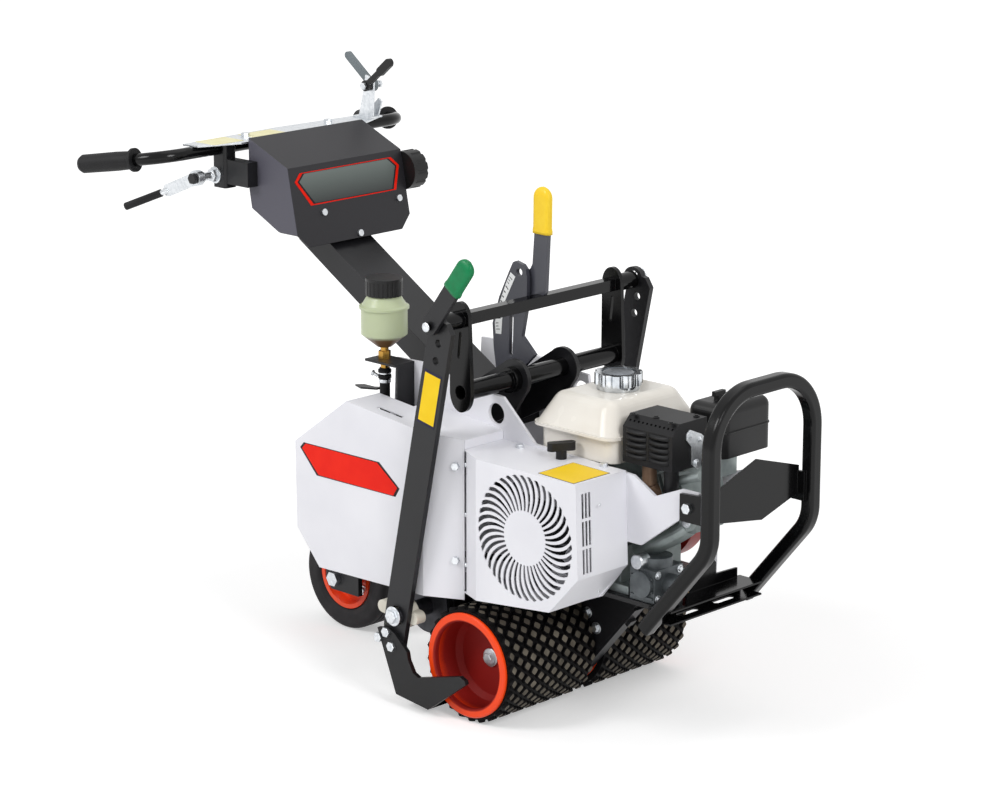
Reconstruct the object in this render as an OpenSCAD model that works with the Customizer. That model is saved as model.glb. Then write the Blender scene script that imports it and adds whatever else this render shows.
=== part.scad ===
// Walk-behind sod cutter with knobbed drive rollers, an oscillating U-shaped blade and a handle console.
// X points forward, Y to the operator's left and Z up. The ground is Z = 0.
// Heights and lengths are set out from the drive axle, and axle_x then centres the machine on X = 0.

/* [Drive rollers] */
// Radius over the tread knobs
roller_r = 100; // [92:1:108]
// Width of one roller
roller_w = 214; // [190:1:230]
// Gap between the two rollers, for the chain case
roller_gap = 28; // [26:1:40]
// Height of the tread knobs
knob_h = 6; // [4:0.5:8]
// Knobs round one row
knob_count = 30; // [24:1:36]
// Rows of knobs on one roller
knob_rows = 10; // [6:1:12]
// Thickness of the rubber under the knobs
tread_t = 10; // [6:1:12]
// Wall of the rim barrel
rim_wall = 4; // [3:0.5:6]
// Height of the rim lip over the barrel
lip_h = 6; // [3:0.5:8]
// Width of the rim lip
lip_w = 6; // [4:0.5:10]
// Depth of the rim dish
dish_depth = 60; // [40:1:90]
// Radius of the drive axle
axle_r = 14; // [10:0.5:18]

/* [Tail wheel] */
// Distance from the drive axle back to the tail wheel
wheelbase = 505; // [460:5:560]
// Radius of the tail tyre
tail_r = 100; // [85:1:110]
// Width of the tail tyre
tail_w = 64; // [50:1:76]
// Radius of the tail rim
tail_rim_r = 62; // [50:1:70]
// Radius of the tail axle bolt
tail_bolt_r = 8; // [6:0.5:10]
// Thickness of each fork leg
fork_t = 10; // [6:1:14]

/* [Frame] */
// Gap between the rollers and the frame above them
roller_clear = 10; // [6:1:20]
// Half the width over the side plates
frame_half = 108; // [100:1:116]
// Thickness of a side plate
plate_t = 6; // [4:0.5:8]
// Height of the engine deck over the frame's lower edge
deck_h = 35; // [25:1:50]
// Thickness of the engine deck
deck_t = 8; // [5:0.5:10]
// Thickness of the chain case
case_t = 24; // [18:1:25]

/* [Covers] */
// Thickness of the cover sheet
sheet_t = 2; // [1.5:0.25:3]
// Half width over the belt covers
cover_half = 228; // [220:1:232]
// Depth of the groove between the two covers
groove_depth = 28; // [15:1:40]
// Height of the fan cover
fan_cover_h = 253; // [240:1:270]
// Outer radius of the fan grille
grille_r = 104; // [90:1:106]
// Radius of the plain disc inside the grille
grille_disc_r = 43; // [30:1:55]
// Number of grille slots
grille_slots = 40; // [24:1:48]

/* [Engine] */
// Crank axis in front of the drive axle
crank_x = 134; // [125:1:140]
// Crank axis over the engine deck
crank_h = 106; // [100:1:112]
// Length of the fuel tank from back to front
tank_l = 180; // [160:1:190]
// Width of the fuel tank
tank_w = 226; // [200:1:240]
// Height of the fuel tank
tank_h = 98; // [80:1:105]
// Radius of the fuel cap
fuel_cap_r = 40; // [30:1:46]

/* [Blade drive] */
// Eccentric shaft behind the drive axle
ecc_back = 145; // [140:1:165]
// Eccentric shaft above the drive axle
ecc_rise = 60; // [50:1:70]
// Radius of the eccentric housing tube
ecc_tube_r = 40; // [34:1:42]
// Throw of the eccentric
ecc_throw = 4; // [2:0.5:6]
// Inner face of the blade arms from the middle
arm_in = 238; // [236:1:246]
// Thickness of a blade arm
arm_t = 10; // [8:0.5:14]
// Width of a blade arm
arm_w = 52; // [44:1:60]
// Radius of the spare holes in the blade arms
arm_hole_r = 7; // [5:0.5:9]
// Thickness of the sod blade
blade_t = 8; // [6:0.5:10]

/* [Depth rocker] */
// Rocker tube in front of the drive axle, negative behind it
tube_x = -48; // [-56:1:-40]
// Rocker tube over the frame's lower edge
tube_h = 345; // [335:1:355]
// Radius of the rocker tube
tube_r = 16; // [12:0.5:20]
// Height of the square bar over the rocker tube
rocker_h = 123; // [110:1:135]
// Side of the square bar
bar_s = 20; // [16:0.5:26]
// Half the width over the rocker plates
rocker_half = 170; // [160:1:180]
// Radius of the rocker end pins
pin_r = 6.5; // [5:0.5:8]
// Length of the depth lever over the square bar
depth_lever_l = 198; // [160:1:240]

/* [Handle] */
// Slope of the column under the horizontal, in degrees
column_slope = 31.4; // [28:0.1:34]
// Width of the column
column_w = 100; // [80:1:120]
// Depth of the column
column_d = 45; // [35:1:60]
// Wall of the column
column_wall = 4; // [3:0.5:6]
// Half the width of the console
console_half = 137; // [120:1:150]
// Radius of the handlebar tube
bar_r = 11; // [9:0.5:13]
// Half length of the handlebar's straight part
bar_half = 245; // [225:1:265]
// Bend radius of the handlebar
bar_bend_r = 60; // [50:1:80]
// Angle through which each end of the handlebar is bent back
bar_sweep = 75; // [60:1:85]
// Length of a hand grip
grip_l = 118; // [100:1:140]
// Radius of a hand grip
grip_r = 17; // [14:0.5:20]

/* [Front guard] */
// Guard hoop in front of the drive axle
guard_x = 440; // [425:1:460]
// Half width of the hoop at its centre line
guard_half = 126; // [122:1:140]
// Height of the hoop's centre line
guard_top = 620; // [590:1:650]
// Size of the hoop's square tube
guard_s = 25; // [20:1:30]
// Bend radius of the hoop's upper corners
guard_bend_r = 90; // [70:1:100]
// Angle of the lower legs from the vertical
guard_lean = 40; // [34:1:46]

/* [Reservoir] */
// Radius of the oil bottle
bottle_r = 40; // [32:1:46]
// Height of the oil bottle's straight part
bottle_h = 44; // [30:1:60]

/* [Hidden] */
running = 0.05;
clear = 0.3;
slack = 0.5;
round_fn = 96;
small_fn = 48;

axle_z = roller_r;
roller_in = roller_gap / 2;
roller_out = roller_in + roller_w;
barrel_r = roller_r - knob_h - tread_t;
frame_z = 2 * roller_r + roller_clear;
deck_z = frame_z + deck_h;
crank_z = deck_z + crank_h;
plate_in = frame_half - plate_t;

ecc_x = -ecc_back;
ecc_z = axle_z + ecc_rise;
tube_z = frame_z + tube_h;
bar_x = tube_x - 3;
bar_z = tube_z + rocker_h;

cover_front = crank_x + 112;
seam_x = -30;
cover_top = frame_z + fan_cover_h;
rear_inner = frame_half + 42;
rear_step_x = -200;

jack_x = -235;
jack_z = frame_z + 135;
belt_w = 10;
belt_t = 8;
crank_pulley_r = 45;
jack_big_r = 92;
jack_small_r = 32;
ecc_pulley_r = 42;
belt_y = 43 - cover_half;
blade_belt_y = 63 - cover_half;
fan_r = 92;

grip_axis = [-sin(bar_sweep), cos(bar_sweep)];
handle_x = -672;
handle_z = 882;
handle_tilt = 9;
bar_tail = 12;
bend_end = [-bar_bend_r * (1 - cos(bar_sweep)), bar_half + bar_bend_r * sin(bar_sweep)];
grip_end = bend_end + (bar_tail + grip_l) * grip_axis;
grip_back = -handle_x - grip_end[0] * cos(handle_tilt) + (grip_r - 4) * cos(bar_sweep) * cos(handle_tilt);
guard_front = guard_x + guard_s / 2;
axle_x = (grip_back - guard_front) / 2;

console_rear = [-622, 903];
console_fold = [-522, 861];
console_low = [-494, 722];
column_top_x = -590;
column_foot_x = -152;
column_at = [-487, 704];

// Shared helpers

module placed(c) {
  color(c) translate([axle_x, 0, 0]) children();
}

module both_sides() {
  children();
  mirror([0, 1, 0]) children();
}

// A flat plate in the X-Z plane from y to y + t
module plate_xz(y, t) {
  translate([0, y + t, 0]) rotate([90, 0, 0]) linear_extrude(t) children();
}

// A flat plate in the Y-Z plane from x to x + t
module plate_yz(x, t) {
  translate([x, 0, 0]) rotate([90, 0, 90]) linear_extrude(t) children();
}

module rod_y(x, z, y0, y1, r, fn = small_fn) {
  translate([x, y0, z]) rotate([-90, 0, 0]) cylinder(r = r, h = y1 - y0, $fn = fn);
}

module rod_x(y, z, x0, x1, r, fn = small_fn) {
  translate([x0, y, z]) rotate([0, 90, 0]) cylinder(r = r, h = x1 - x0, $fn = fn);
}

// A revolved profile about an axis along Y, with the profile's second coordinate along Y
module turned_y(x, z) {
  translate([x, 0, z]) rotate([-90, 0, 0]) rotate_extrude($fn = round_fn) children();
}

// A hexagon head along Y, standing from y outwards
module hex_y(x, z, y, h, r) {
  y0 = y < 0 ? y - h : y;
  rod_y(x, z, y0, y0 + h, r, 6);
}

// A square tube's outline, with each corner rounded in four steps
module round_square(s, r) {
  polygon([for (q = [0 : 3], k = [0 : 4]) let (a = q * 90 + k * 22.5, c = q * 90 + 45)
    (s / 2 - r) * sqrt(2) * [cos(c), sin(c)] + r * [cos(a), sin(a)]]);
}

module round_rect(w, h, r) {
  square([w - 2 * r, h], center = true);
  square([w, h - 2 * r], center = true);
  for (i = [-1, 1], j = [-1, 1])
    translate([i * (w / 2 - r), j * (h / 2 - r)]) circle(r = r, $fn = 32);
}

// A strip with round ends from a to b, 2 r wide
module strip(a, b, r) {
  d = b - a;
  n = r * [-d[1], d[0]] / norm(d);
  polygon([a + n, a - n, b - n, b + n]);
  translate(a) circle(r = r, $fn = small_fn);
  translate(b) circle(r = r, $fn = small_fn);
}

function unit(v) = v / norm(v);
function left_of(p, q) = let (d = unit(q - p)) [-d[1], d[0]];

// A polygon with every edge moved inwards by d, for points that run anticlockwise
function inset(pts, d) = [for (i = [0 : len(pts) - 1])
  let (n = len(pts),
    n1 = left_of(pts[(i + n - 1) % n], pts[i]),
    n2 = left_of(pts[i], pts[(i + 1) % n]))
  pts[i] + d * (n1 + n2) / (1 + n1 * n2)];

// Outer tangent outline of two circles, each arc in short steps
module loop_shape(a, ra, b, rb) {
  steps = 40;
  turn = atan2(b[1] - a[1], b[0] - a[0]);
  half = acos((ra - rb) / norm(b - a));
  polygon(concat(
    [for (k = [0 : steps]) let (t = turn + half + k * (360 - 2 * half) / steps) a + ra * [cos(t), sin(t)]],
    [for (k = [0 : steps]) let (t = turn - half + k * 2 * half / steps) b + rb * [cos(t), sin(t)]]));
}

// Frame

tower_top = tube_z - tube_r - 4;
plate_back_x = -330;
guard_bolt = [384, frame_z + 219];
guard_bolt_r = 5;

function plate_rear() = [[-30, tower_top], [-110, tower_top + 5], [-221, frame_z + 352], [-285, frame_z + 350],
  [-290, frame_z + 260], [plate_back_x, frame_z + 230]];
function plate_front() = [[365, frame_z + 197], [400, frame_z + 195], [400, frame_z + 245], [364, frame_z + 245],
  [308, frame_z + 222]];

module side_plate_holes() {
  translate([-45, frame_z + 294]) circle(r = 18, $fn = small_fn);
  translate(guard_bolt) circle(r = guard_bolt_r, $fn = small_fn);
}

module side_plate_right() {
  placed("ghostwhite") plate_xz(-frame_half, plate_t) difference() {
    polygon(concat([[plate_back_x, frame_z], [130, frame_z], [193, frame_z + 27], [234, frame_z + 77],
        [236, frame_z + 130], [247, frame_z + 134], [280, frame_z + 134]],
      plate_front(), [[262, frame_z + 248], [43, frame_z + 258]], plate_rear()));
    side_plate_holes();
    translate([crank_x, crank_z]) circle(r = 42, $fn = small_fn);
    translate([jack_x, jack_z]) circle(r = 10 + running, $fn = small_fn);
  }
}

module side_plate_left() {
  placed("ghostwhite") plate_xz(plate_in, plate_t) difference() {
    polygon(concat([[plate_back_x, frame_z], [258, frame_z], [262, frame_z + 134], [280, frame_z + 134]],
      plate_front(), [[262, frame_z + 210], [244, frame_z + 190], [244, deck_z + 2], [20, deck_z + 2]], plate_rear()));
    side_plate_holes();
  }
}

module engine_deck() {
  placed("dimgray") translate([-20, 0, deck_z - deck_t]) linear_extrude(deck_t)
    polygon([[0, -plate_in], [320, -plate_in], [320, plate_in - 54], [262, plate_in], [0, plate_in]]);
}

fork_in = tail_w / 2 + 10;

module tail_fork() {
  placed("#2b2a2e") {
    translate([plate_back_x, -plate_in, frame_z]) cube([8, 2 * plate_in, 230]);
    both_sides() plate_xz(-fork_in - fork_t, fork_t) difference() {
      polygon([[-wheelbase - 25, axle_z - 4], [-wheelbase - 12, axle_z - 22], [-wheelbase + 60, axle_z - 22],
        [-wheelbase + 60, axle_z + 60], [plate_back_x, frame_z + 20], [plate_back_x, frame_z + 120],
        [-wheelbase + 60, frame_z + 70], [-wheelbase - 25, axle_z + 60]]);
      translate([-wheelbase, tail_r]) circle(r = tail_bolt_r + running, $fn = small_fn);
    }
  }
}

// Handle column, console and handlebar

function column_z(x) = column_at[1] - (x - column_at[0]) * tan(column_slope);

module column_profile(x0, x1, drop) {
  polygon([[x0, column_z(x0)], [x0, column_z(x0) - drop], [x1, column_z(x1) - drop], [x1, column_z(x1)]]);
}

support_in = 56;
support_t = 8;

module column() {
  drop = column_d / cos(column_slope);
  wall_drop = column_wall / cos(column_slope);
  placed("#2b2a2e") {
    difference() {
      plate_xz(-column_w / 2, column_w) column_profile(column_top_x, column_foot_x, drop);
      translate([0, 0, -wall_drop]) plate_xz(-column_w / 2 + column_wall, column_w - 2 * column_wall)
        column_profile(column_top_x - 5, column_foot_x + 5, drop);
    }
    plate_yz(column_foot_x, 8)
      polygon([[-plate_in, frame_z + 225], [plate_in, frame_z + 225], [plate_in, frame_z + 325],
        [-plate_in, frame_z + 325]]);
    both_sides() plate_xz(support_in, support_t) difference() {
      union() {
        polygon([[column_foot_x + 8, frame_z + 235], [column_foot_x + 8, frame_z + 322],
          [tube_x - 24, tube_z + 24], [tube_x + 24, tube_z - 24], [tube_x, tube_z - 60]]);
        translate([tube_x, tube_z]) circle(r = 34, $fn = small_fn);
      }
      translate([tube_x, tube_z]) circle(r = tube_r + running, $fn = round_fn);
    }
  }
}

corner_cut = 24;
knob_stem_r = 3;
rib_x = column_top_x + 34;
rib_z = column_z(rib_x);
rib_half = console_half - sheet_t;

module console() {
  placed("#343338") {
    difference() {
      plate_xz(-console_half, 2 * console_half)
        polygon([console_low, console_fold, console_rear, [console_rear[0], 812], [-616, 779], [-536, 740]]);
      plate_xz(-console_half + sheet_t, 2 * (console_half - sheet_t))
        polygon([console_low + [-sheet_t, -4], console_fold + [-sheet_t, -sheet_t],
          console_rear + [-5, -sheet_t], [-640, 700]]);
      both_sides() plate_yz(console_low[0] - 80, 100) polygon([
        [console_half - corner_cut - 10, console_low[1] - 10], [console_half + 10, console_low[1] - 10],
        [console_half + 10, console_low[1] + corner_cut + 10]]);
      rod_y(console_knob_x, console_knob_z, console_half - sheet_t - 1, console_half + 1, knob_stem_r + running);
    }
    plate_yz(rib_x, 4) polygon([[-rib_half, rib_z + 8], [-column_w / 2, rib_z + 8], [-column_w / 2, rib_z],
      [column_w / 2, rib_z], [column_w / 2, rib_z + 8], [rib_half, rib_z + 8], [rib_half, rib_z + 60],
      [-rib_half, rib_z + 60]]);
  }
}

module top_plate() {
  placed("silver") translate([0, 0, handle_z + bar_r]) linear_extrude(3)
    polygon([[handle_x - 18, -230], [handle_x + 16, -225], [-626, -150], [-626, 150], [handle_x + 16, 215],
      [handle_x - 18, 230], [handle_x - 30, 0]]);
}

// One bent end of the bar in its own plane, with x forward and y outwards
module bar_bend() {
  l = bar_tail + grip_l - 6;
  translate([-bar_bend_r, bar_half, 0]) rotate_extrude(angle = bar_sweep, $fn = round_fn)
    translate([bar_bend_r, 0]) circle(r = bar_r, $fn = small_fn);
  translate([bend_end[0], bend_end[1], 0]) rotate([0, 0, bar_sweep]) translate([0, l, 0]) rotate([90, 0, 0])
    linear_extrude(l) circle(r = bar_r, $fn = small_fn);
}

module in_handle_plane() {
  translate([handle_x, 0, handle_z]) rotate([0, -handle_tilt, 0]) children();
}

module handlebar() {
  placed("#1f1f22") in_handle_plane() {
    rod_y(0, 0, -bar_half, bar_half, bar_r);
    both_sides() bar_bend();
    both_sides() rod_y(0, 0, bar_half - 4, bar_half + 4, bar_r - 1);
  }
}

module grip_shape() {
  translate([bend_end[0], bend_end[1], 0]) rotate([0, 0, bar_sweep]) rotate([-90, 0, 0]) rotate_extrude($fn = small_fn)
    polygon([[bar_r, bar_tail], [grip_r + 4, bar_tail], [grip_r + 4, bar_tail + 5], [grip_r - 1, bar_tail + 9],
      [grip_r, bar_tail + 40], [grip_r - 0.5, bar_tail + grip_l - 6], [grip_r - 4, bar_tail + grip_l],
      [0, bar_tail + grip_l], [0, bar_tail + grip_l - 6], [bar_r, bar_tail + grip_l - 6]]);
}

module grip_left() {
  placed("#1b1b1d") in_handle_plane() grip_shape();
}

module grip_right() {
  placed("#1b1b1d") in_handle_plane() mirror([0, 1, 0]) grip_shape();
}

clamp_y = 150;

module handle_clamps() {
  placed("#242428") {
    both_sides() difference() {
      union() {
        translate([handle_x, clamp_y, handle_z - 70]) linear_extrude(70 + bar_r - 4) round_rect(34, 28, 6);
        translate([handle_x + 10, console_half, handle_z - 62]) cube([62, clamp_y + 10 - console_half, 44]);
      }
      rod_y(handle_x, handle_z, 0, clamp_y + 50, bar_r);
    }
    rod_y(drive_pivot[0], drive_pivot[2], drive_pivot[1] - 3, -clamp_y, drive_pin_r);
    rod_y(drive_pivot[0], drive_pivot[2], drive_pivot[1] - 7, drive_pivot[1] - 1, drive_pin_r + 4, 6);
  }
}

console_knob_x = -520;
console_knob_z = 822;

module console_knob() {
  placed("#1a1a1c") {
    difference() {
      rod_y(console_knob_x, console_knob_z, console_half + clear, console_half + 34, 35, round_fn);
      for (a = [0 : 30 : 330]) translate([console_knob_x, console_half + 8, console_knob_z]) rotate([-90, 0, 0])
        rotate([0, 0, a]) translate([37, 0, 0]) cylinder(r = 4, h = 40, $fn = 24);
    }
    rod_y(console_knob_x, console_knob_z, console_half - 16, console_half + 1, knob_stem_r);
  }
}

// Hand levers

drive_pin_r = 6;
drive_pivot = [handle_x - 8, -214, handle_z - 48];
lever_bend = drive_pivot + [-78, 6, -32];
lever_pitch = -114;
lever_yaw = 20;

module on_lever() {
  translate(lever_bend) rotate([0, lever_pitch, 0]) rotate([lever_yaw, 0, 0]) children();
}

module drive_lever() {
  placed("gainsboro") {
    difference() {
      union() {
        rod_y(drive_pivot[0], drive_pivot[2], drive_pivot[1], drive_pivot[1] + 12, 14);
        plate_xz(drive_pivot[1] + 3, 6) strip([drive_pivot[0], drive_pivot[2]], [lever_bend[0], lever_bend[2]], 11);
      }
      rod_y(drive_pivot[0], drive_pivot[2], drive_pivot[1] - 1, drive_pivot[1] + 13, drive_pin_r + running);
    }
    on_lever() cylinder(r = 5, h = 90, $fn = small_fn);
  }
}

module lever_sleeve() {
  placed("#161618") on_lever() translate([0, 0, 16]) difference() {
    cylinder(r = 7, h = 78, $fn = small_fn);
    translate([0, 0, -1]) cylinder(r = 5, h = 75, $fn = small_fn);
  }
}

lever_y = 190;

module lever_bracket() {
  placed("lightgray") {
    translate([handle_x - 12, lever_y - 16, handle_z + bar_r + 3]) cube([40, 36, 3]);
    plate_xz(lever_y - 3, 4) polygon([[handle_x - 10, handle_z + 16], [handle_x + 26, handle_z + 16],
      [handle_x + 30, handle_z + 86], [handle_x + 8, handle_z + 92], [handle_x + 2, handle_z + 60]]);
    plate_xz(lever_y + 12, 4) polygon([[handle_x - 6, handle_z + 16], [handle_x + 24, handle_z + 16],
      [handle_x + 34, handle_z + 44], [handle_x + 26, handle_z + 50], [handle_x + 10, handle_z + 34]]);
    rod_y(handle_x + 18, handle_z + 74, lever_y - 16, lever_y + 20, 4);
    hex_y(handle_x + 18, handle_z + 74, lever_y + 20, 5, 7);
    hex_y(handle_x + 18, handle_z + 74, lever_y - 20, 5, 7);
  }
}

module clutch_lever() {
  placed("#8c9498") plate_xz(lever_y + 1.5, 8) difference() {
    union() {
      strip([handle_x + 18, handle_z + 74], [handle_x - 44, handle_z + 122], 7);
      translate([handle_x + 18, handle_z + 74]) circle(r = 12, $fn = small_fn);
    }
    translate([handle_x + 18, handle_z + 74]) circle(r = 4 + running, $fn = small_fn);
  }
}

module throttle_lever() {
  placed("#2a2a2c") plate_xz(lever_y - 14, 8) difference() {
    union() {
      strip([handle_x + 18, handle_z + 74], [handle_x + 58, handle_z + 106], 5);
      strip([handle_x + 56, handle_z + 104], [handle_x + 78, handle_z + 122], 8);
      translate([handle_x + 18, handle_z + 74]) circle(r = 10, $fn = small_fn);
    }
    translate([handle_x + 18, handle_z + 74]) circle(r = 4 + running, $fn = small_fn);
  }
}

// Belt covers

function rear_side() = [[-411, frame_z + 46], [-356, frame_z - 16], [seam_x, frame_z - 8], [seam_x, cover_top + 16],
  [-121, cover_top + 25], [-283, cover_top + 42], [-413, cover_top - 52]];
function rear_plan(t) = let (open = t > 0 ? 5 : 0) [[-420 + t, -rear_inner + open], [-420 + t, -cover_half + t],
  [-100, -cover_half + t], [seam_x + open, -cover_half + groove_depth + t], [seam_x + open, -frame_half + open],
  [rear_step_x + t, -frame_half + open], [rear_step_x + t, -rear_inner + open]];

module rear_cover() {
  placed("ghostwhite") difference() {
    intersection() {
      plate_xz(-cover_half, cover_half) polygon(rear_side());
      linear_extrude(1000) polygon(rear_plan(0));
    }
    intersection() {
      plate_xz(-cover_half - 5, cover_half + 5) polygon(inset(rear_side(), sheet_t));
      linear_extrude(1000) polygon(rear_plan(sheet_t));
    }
    intersection() {
      union() {
        translate([-345, -cover_half, frame_z - 20]) cube([345 + seam_x + 5, cover_half - rear_inner - sheet_t, 30]);
        translate([ecc_x - ecc_tube_r - 10, -cover_half, frame_z - 20])
          cube([ecc_tube_r + 10 - ecc_x + seam_x + 5, cover_half - frame_half + 5, 30]);
      }
      linear_extrude(1000) polygon(rear_plan(sheet_t));
    }
    plate_yz(seam_x - sheet_t - 1, 10) polygon([[-cover_half + groove_depth + sheet_t, frame_z - 14 + sheet_t],
      [-frame_half + 5, frame_z - 14 + sheet_t], [-frame_half + 5, cover_top + 16 - sheet_t],
      [-cover_half + groove_depth + sheet_t, cover_top + 16 - sheet_t]]);
    translate([-230, -cover_half + 20, cover_top + 10]) cube([60, 8, 40]);
  }
}

function fan_side() = [[seam_x, frame_z + 5], [25, frame_z + 10], [189, frame_z + 27], [cover_front + 6, frame_z + 95],
  [cover_front, cover_top], [seam_x, cover_top]];
function fan_plan(t) = let (open = t > 0 ? 5 : 0) [[seam_x - open, -cover_half + groove_depth + t],
  [24, -cover_half + t], [cover_front + 10 - t, -cover_half + t], [cover_front + 10 - t, -frame_half + open],
  [seam_x - open, -frame_half + open]];

// One swirl slot of the grille, narrow at the disc and wide at the rim
function swirl_point(r, side) = let (
    k = (r - grille_disc_r) / (grille_r - grille_disc_r),
    w = (0.9 + 1.9 * k) * side,
    a = 22 * k * k - 8 * k)
  [r * cos(a) - w * sin(a), r * sin(a) + w * cos(a)];

module swirl_slot() {
  r0 = grille_disc_r + 4;
  steps = 5;
  dr = (grille_r - r0) / steps;
  polygon(concat([for (i = [0 : steps]) swirl_point(r0 + i * dr, -1)],
    [for (i = [steps : -1 : 0]) swirl_point(r0 + i * dr, 1)]));
}

module fan_cover() {
  vent_w = 3;
  placed("ghostwhite") difference() {
    intersection() {
      plate_xz(-cover_half, cover_half) polygon(fan_side());
      linear_extrude(1000) polygon(fan_plan(0));
    }
    intersection() {
      plate_xz(-cover_half - 5, cover_half + 5)
        polygon([[seam_x - 5, frame_z + 5 + sheet_t], [25, frame_z + 10 + sheet_t], [188, frame_z + 27 + sheet_t],
          [cover_front + 6 - sheet_t, frame_z + 96], [cover_front - sheet_t, cover_top - sheet_t],
          [seam_x - 5, cover_top - sheet_t]]);
      linear_extrude(1000) polygon(fan_plan(sheet_t));
    }
    plate_xz(-cover_half - 1, sheet_t + 2) translate([crank_x, crank_z]) for (i = [0 : grille_slots - 1])
      rotate(i * 360 / grille_slots) swirl_slot();
    for (i = [0 : 2], j = [0 : 2]) translate([cover_front - 20, -cover_half + 14 + i * 8, cover_top - 58 - j * 46])
      cube([40, vent_w, 38]);
    translate([knob_at[0], knob_at[1], cover_top - 5]) cylinder(r = 5 + running, h = 10, $fn = small_fn);
  }
}

knob_at = [123, -129];

module cover_knob() {
  placed("#1a1a1c") {
    translate([knob_at[0], knob_at[1], cover_top + clear]) cylinder(r = 9, h = 15, $fn = small_fn);
    translate([knob_at[0], knob_at[1], cover_top - 14]) cylinder(r = 5, h = 16, $fn = small_fn);
    translate([knob_at[0], knob_at[1], cover_top + clear + 14]) linear_extrude(14) rotate(60)
      strip([-16, 0], [16, 0], 8);
  }
}

// Fasteners that stay with the frame

module frame_bolts() {
  placed("silver") {
    rod_y(-wheelbase, tail_r, -fork_in - fork_t, fork_in + fork_t, tail_bolt_r);
    both_sides() hex_y(-wheelbase, tail_r, fork_in + fork_t, 10, 14);
    both_sides() rod_y(guard_bolt[0], guard_bolt[1], plate_in, flange_out, guard_bolt_r);
    both_sides() hex_y(guard_bolt[0], guard_bolt[1], flange_out, 7, 9);
    for (y = [-100, 100]) translate([handle_x, y, handle_z + bar_r + 3]) cylinder(r = 8, h = 6, $fn = 6);
    for (p = [[28, -128], [205, -116]]) translate([p[0], p[1], cover_top]) cylinder(r = 7, h = 6, $fn = 6);
    for (p = [[-68, 777], [115, 777], [10, 730]]) face_screw(p[0], p[1]);
    for (z = [cover_top - 30, frame_z + 60]) groove_bolt(z);
  }
}

// A screw head on the console's sloping front
module face_screw(y, z) {
  k = (z - console_low[1]) / (console_fold[1] - console_low[1]);
  x = console_low[0] + k * (console_fold[0] - console_low[0]);
  lean = atan2(console_low[0] - console_fold[0], console_fold[1] - console_low[1]);
  translate([x, y, z]) rotate([0, 90 - lean, 0]) cylinder(r = 6, h = 4, $fn = small_fn);
}

// A bolt head on the rear cover's groove face
module groove_bolt(z) {
  a = atan2(groove_depth, seam_x + 100);
  translate([seam_x - 14, -cover_half + groove_depth - 14 * tan(a), z]) rotate([0, 0, a]) rotate([90, 0, 0])
    cylinder(r = 7, h = 6, $fn = 6);
}

// Oil reservoir

res_x = -290;
res_y = -130;
res_z = frame_z + 347;

module reservoir_bracket() {
  placed("#242428") {
    difference() {
      translate([res_x - 24, res_y - 24, res_z]) cube([74, 24 - frame_half - res_y, 4]);
      translate([res_x, res_y, res_z - 1]) cylinder(r = 7, h = 6, $fn = small_fn);
    }
    translate([res_x + 46, res_y - 18, res_z - 90]) cube([4, -frame_half - res_y + 18, 90]);
  }
}

module reservoir_fitting() {
  placed("goldenrod") translate([res_x, res_y, res_z]) {
    translate([0, 0, -12]) cylinder(r = 7, h = 16, $fn = small_fn);
    translate([0, 0, 4]) cylinder(r = 11, h = 14, $fn = 6);
    translate([0, 0, 18]) cylinder(r = 7, h = 8, $fn = small_fn);
  }
}

bottle_z = res_z + 26;

module reservoir_bottle() {
  wall = 2.5;
  cone_h = 22;
  placed("#c5d3a8") translate([res_x, res_y, bottle_z]) rotate_extrude($fn = round_fn)
    polygon([[0, 0], [13, 0], [bottle_r, cone_h], [bottle_r, cone_h + bottle_h], [bottle_r + 3, cone_h + bottle_h + 1],
      [bottle_r + 3, cone_h + bottle_h + 5], [bottle_r - 2, cone_h + bottle_h + 8], [28, cone_h + bottle_h + 24],
      [28, cone_h + bottle_h + 34], [28 - wall, cone_h + bottle_h + 34], [28 - wall, cone_h + bottle_h + 23],
      [bottle_r - wall, cone_h + bottle_h + 4], [bottle_r - wall, cone_h + 1], [12, wall], [0, wall]]);
}

module reservoir_cap() {
  z0 = bottle_z + 22 + bottle_h + 34;
  placed("#1a1a1c") translate([res_x, res_y, z0]) difference() {
    translate([0, 0, -10]) cylinder(r = 32, h = 30, $fn = round_fn);
    translate([0, 0, -11]) cylinder(r = 28 + running, h = 11 + clear, $fn = round_fn);
    for (a = [0 : 15 : 345]) rotate([0, 0, a]) translate([33, 0, -11]) cylinder(r = 2, h = 26, $fn = 24);
  }
}

module reservoir_hose() {
  r = 9;
  bend = -frame_half - res_y;
  drop = 100;
  placed("#161618") translate([res_x, res_y, res_z - 12]) {
    difference() {
      translate([0, 0, -drop]) cylinder(r = r, h = drop, $fn = small_fn);
      translate([0, 0, -drop - 1]) cylinder(r = 5, h = drop + 2, $fn = small_fn);
    }
    translate([0, bend, -drop]) rotate([0, 90, 0]) rotate([0, 0, -90]) rotate_extrude(angle = 90, $fn = round_fn)
      translate([bend, 0]) difference() {
        circle(r = r, $fn = small_fn);
        circle(r = 5, $fn = small_fn);
      }
    for (z = [-8, -18]) translate([0, 0, z]) difference() {
      cylinder(r = r + 2.5, h = 5, $fn = small_fn);
      translate([0, 0, -1]) cylinder(r = r, h = 7, $fn = small_fn);
    }
  }
}

// Depth rocker

module rocker_plate_shape() {
  difference() {
    union() {
      translate([tube_x, tube_z]) circle(r = 34, $fn = small_fn);
      translate([bar_x, bar_z]) circle(r = 30, $fn = small_fn);
      polygon([[tube_x - 34, tube_z], [tube_x + 34, tube_z], [bar_x + 30, bar_z], [bar_x - 30, bar_z]]);
    }
    strip([bar_x + 4, bar_z - 24], [bar_x - 2, bar_z - 62], 4);
  }
}

pin_end = arm_in + arm_t + 18;

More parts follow.
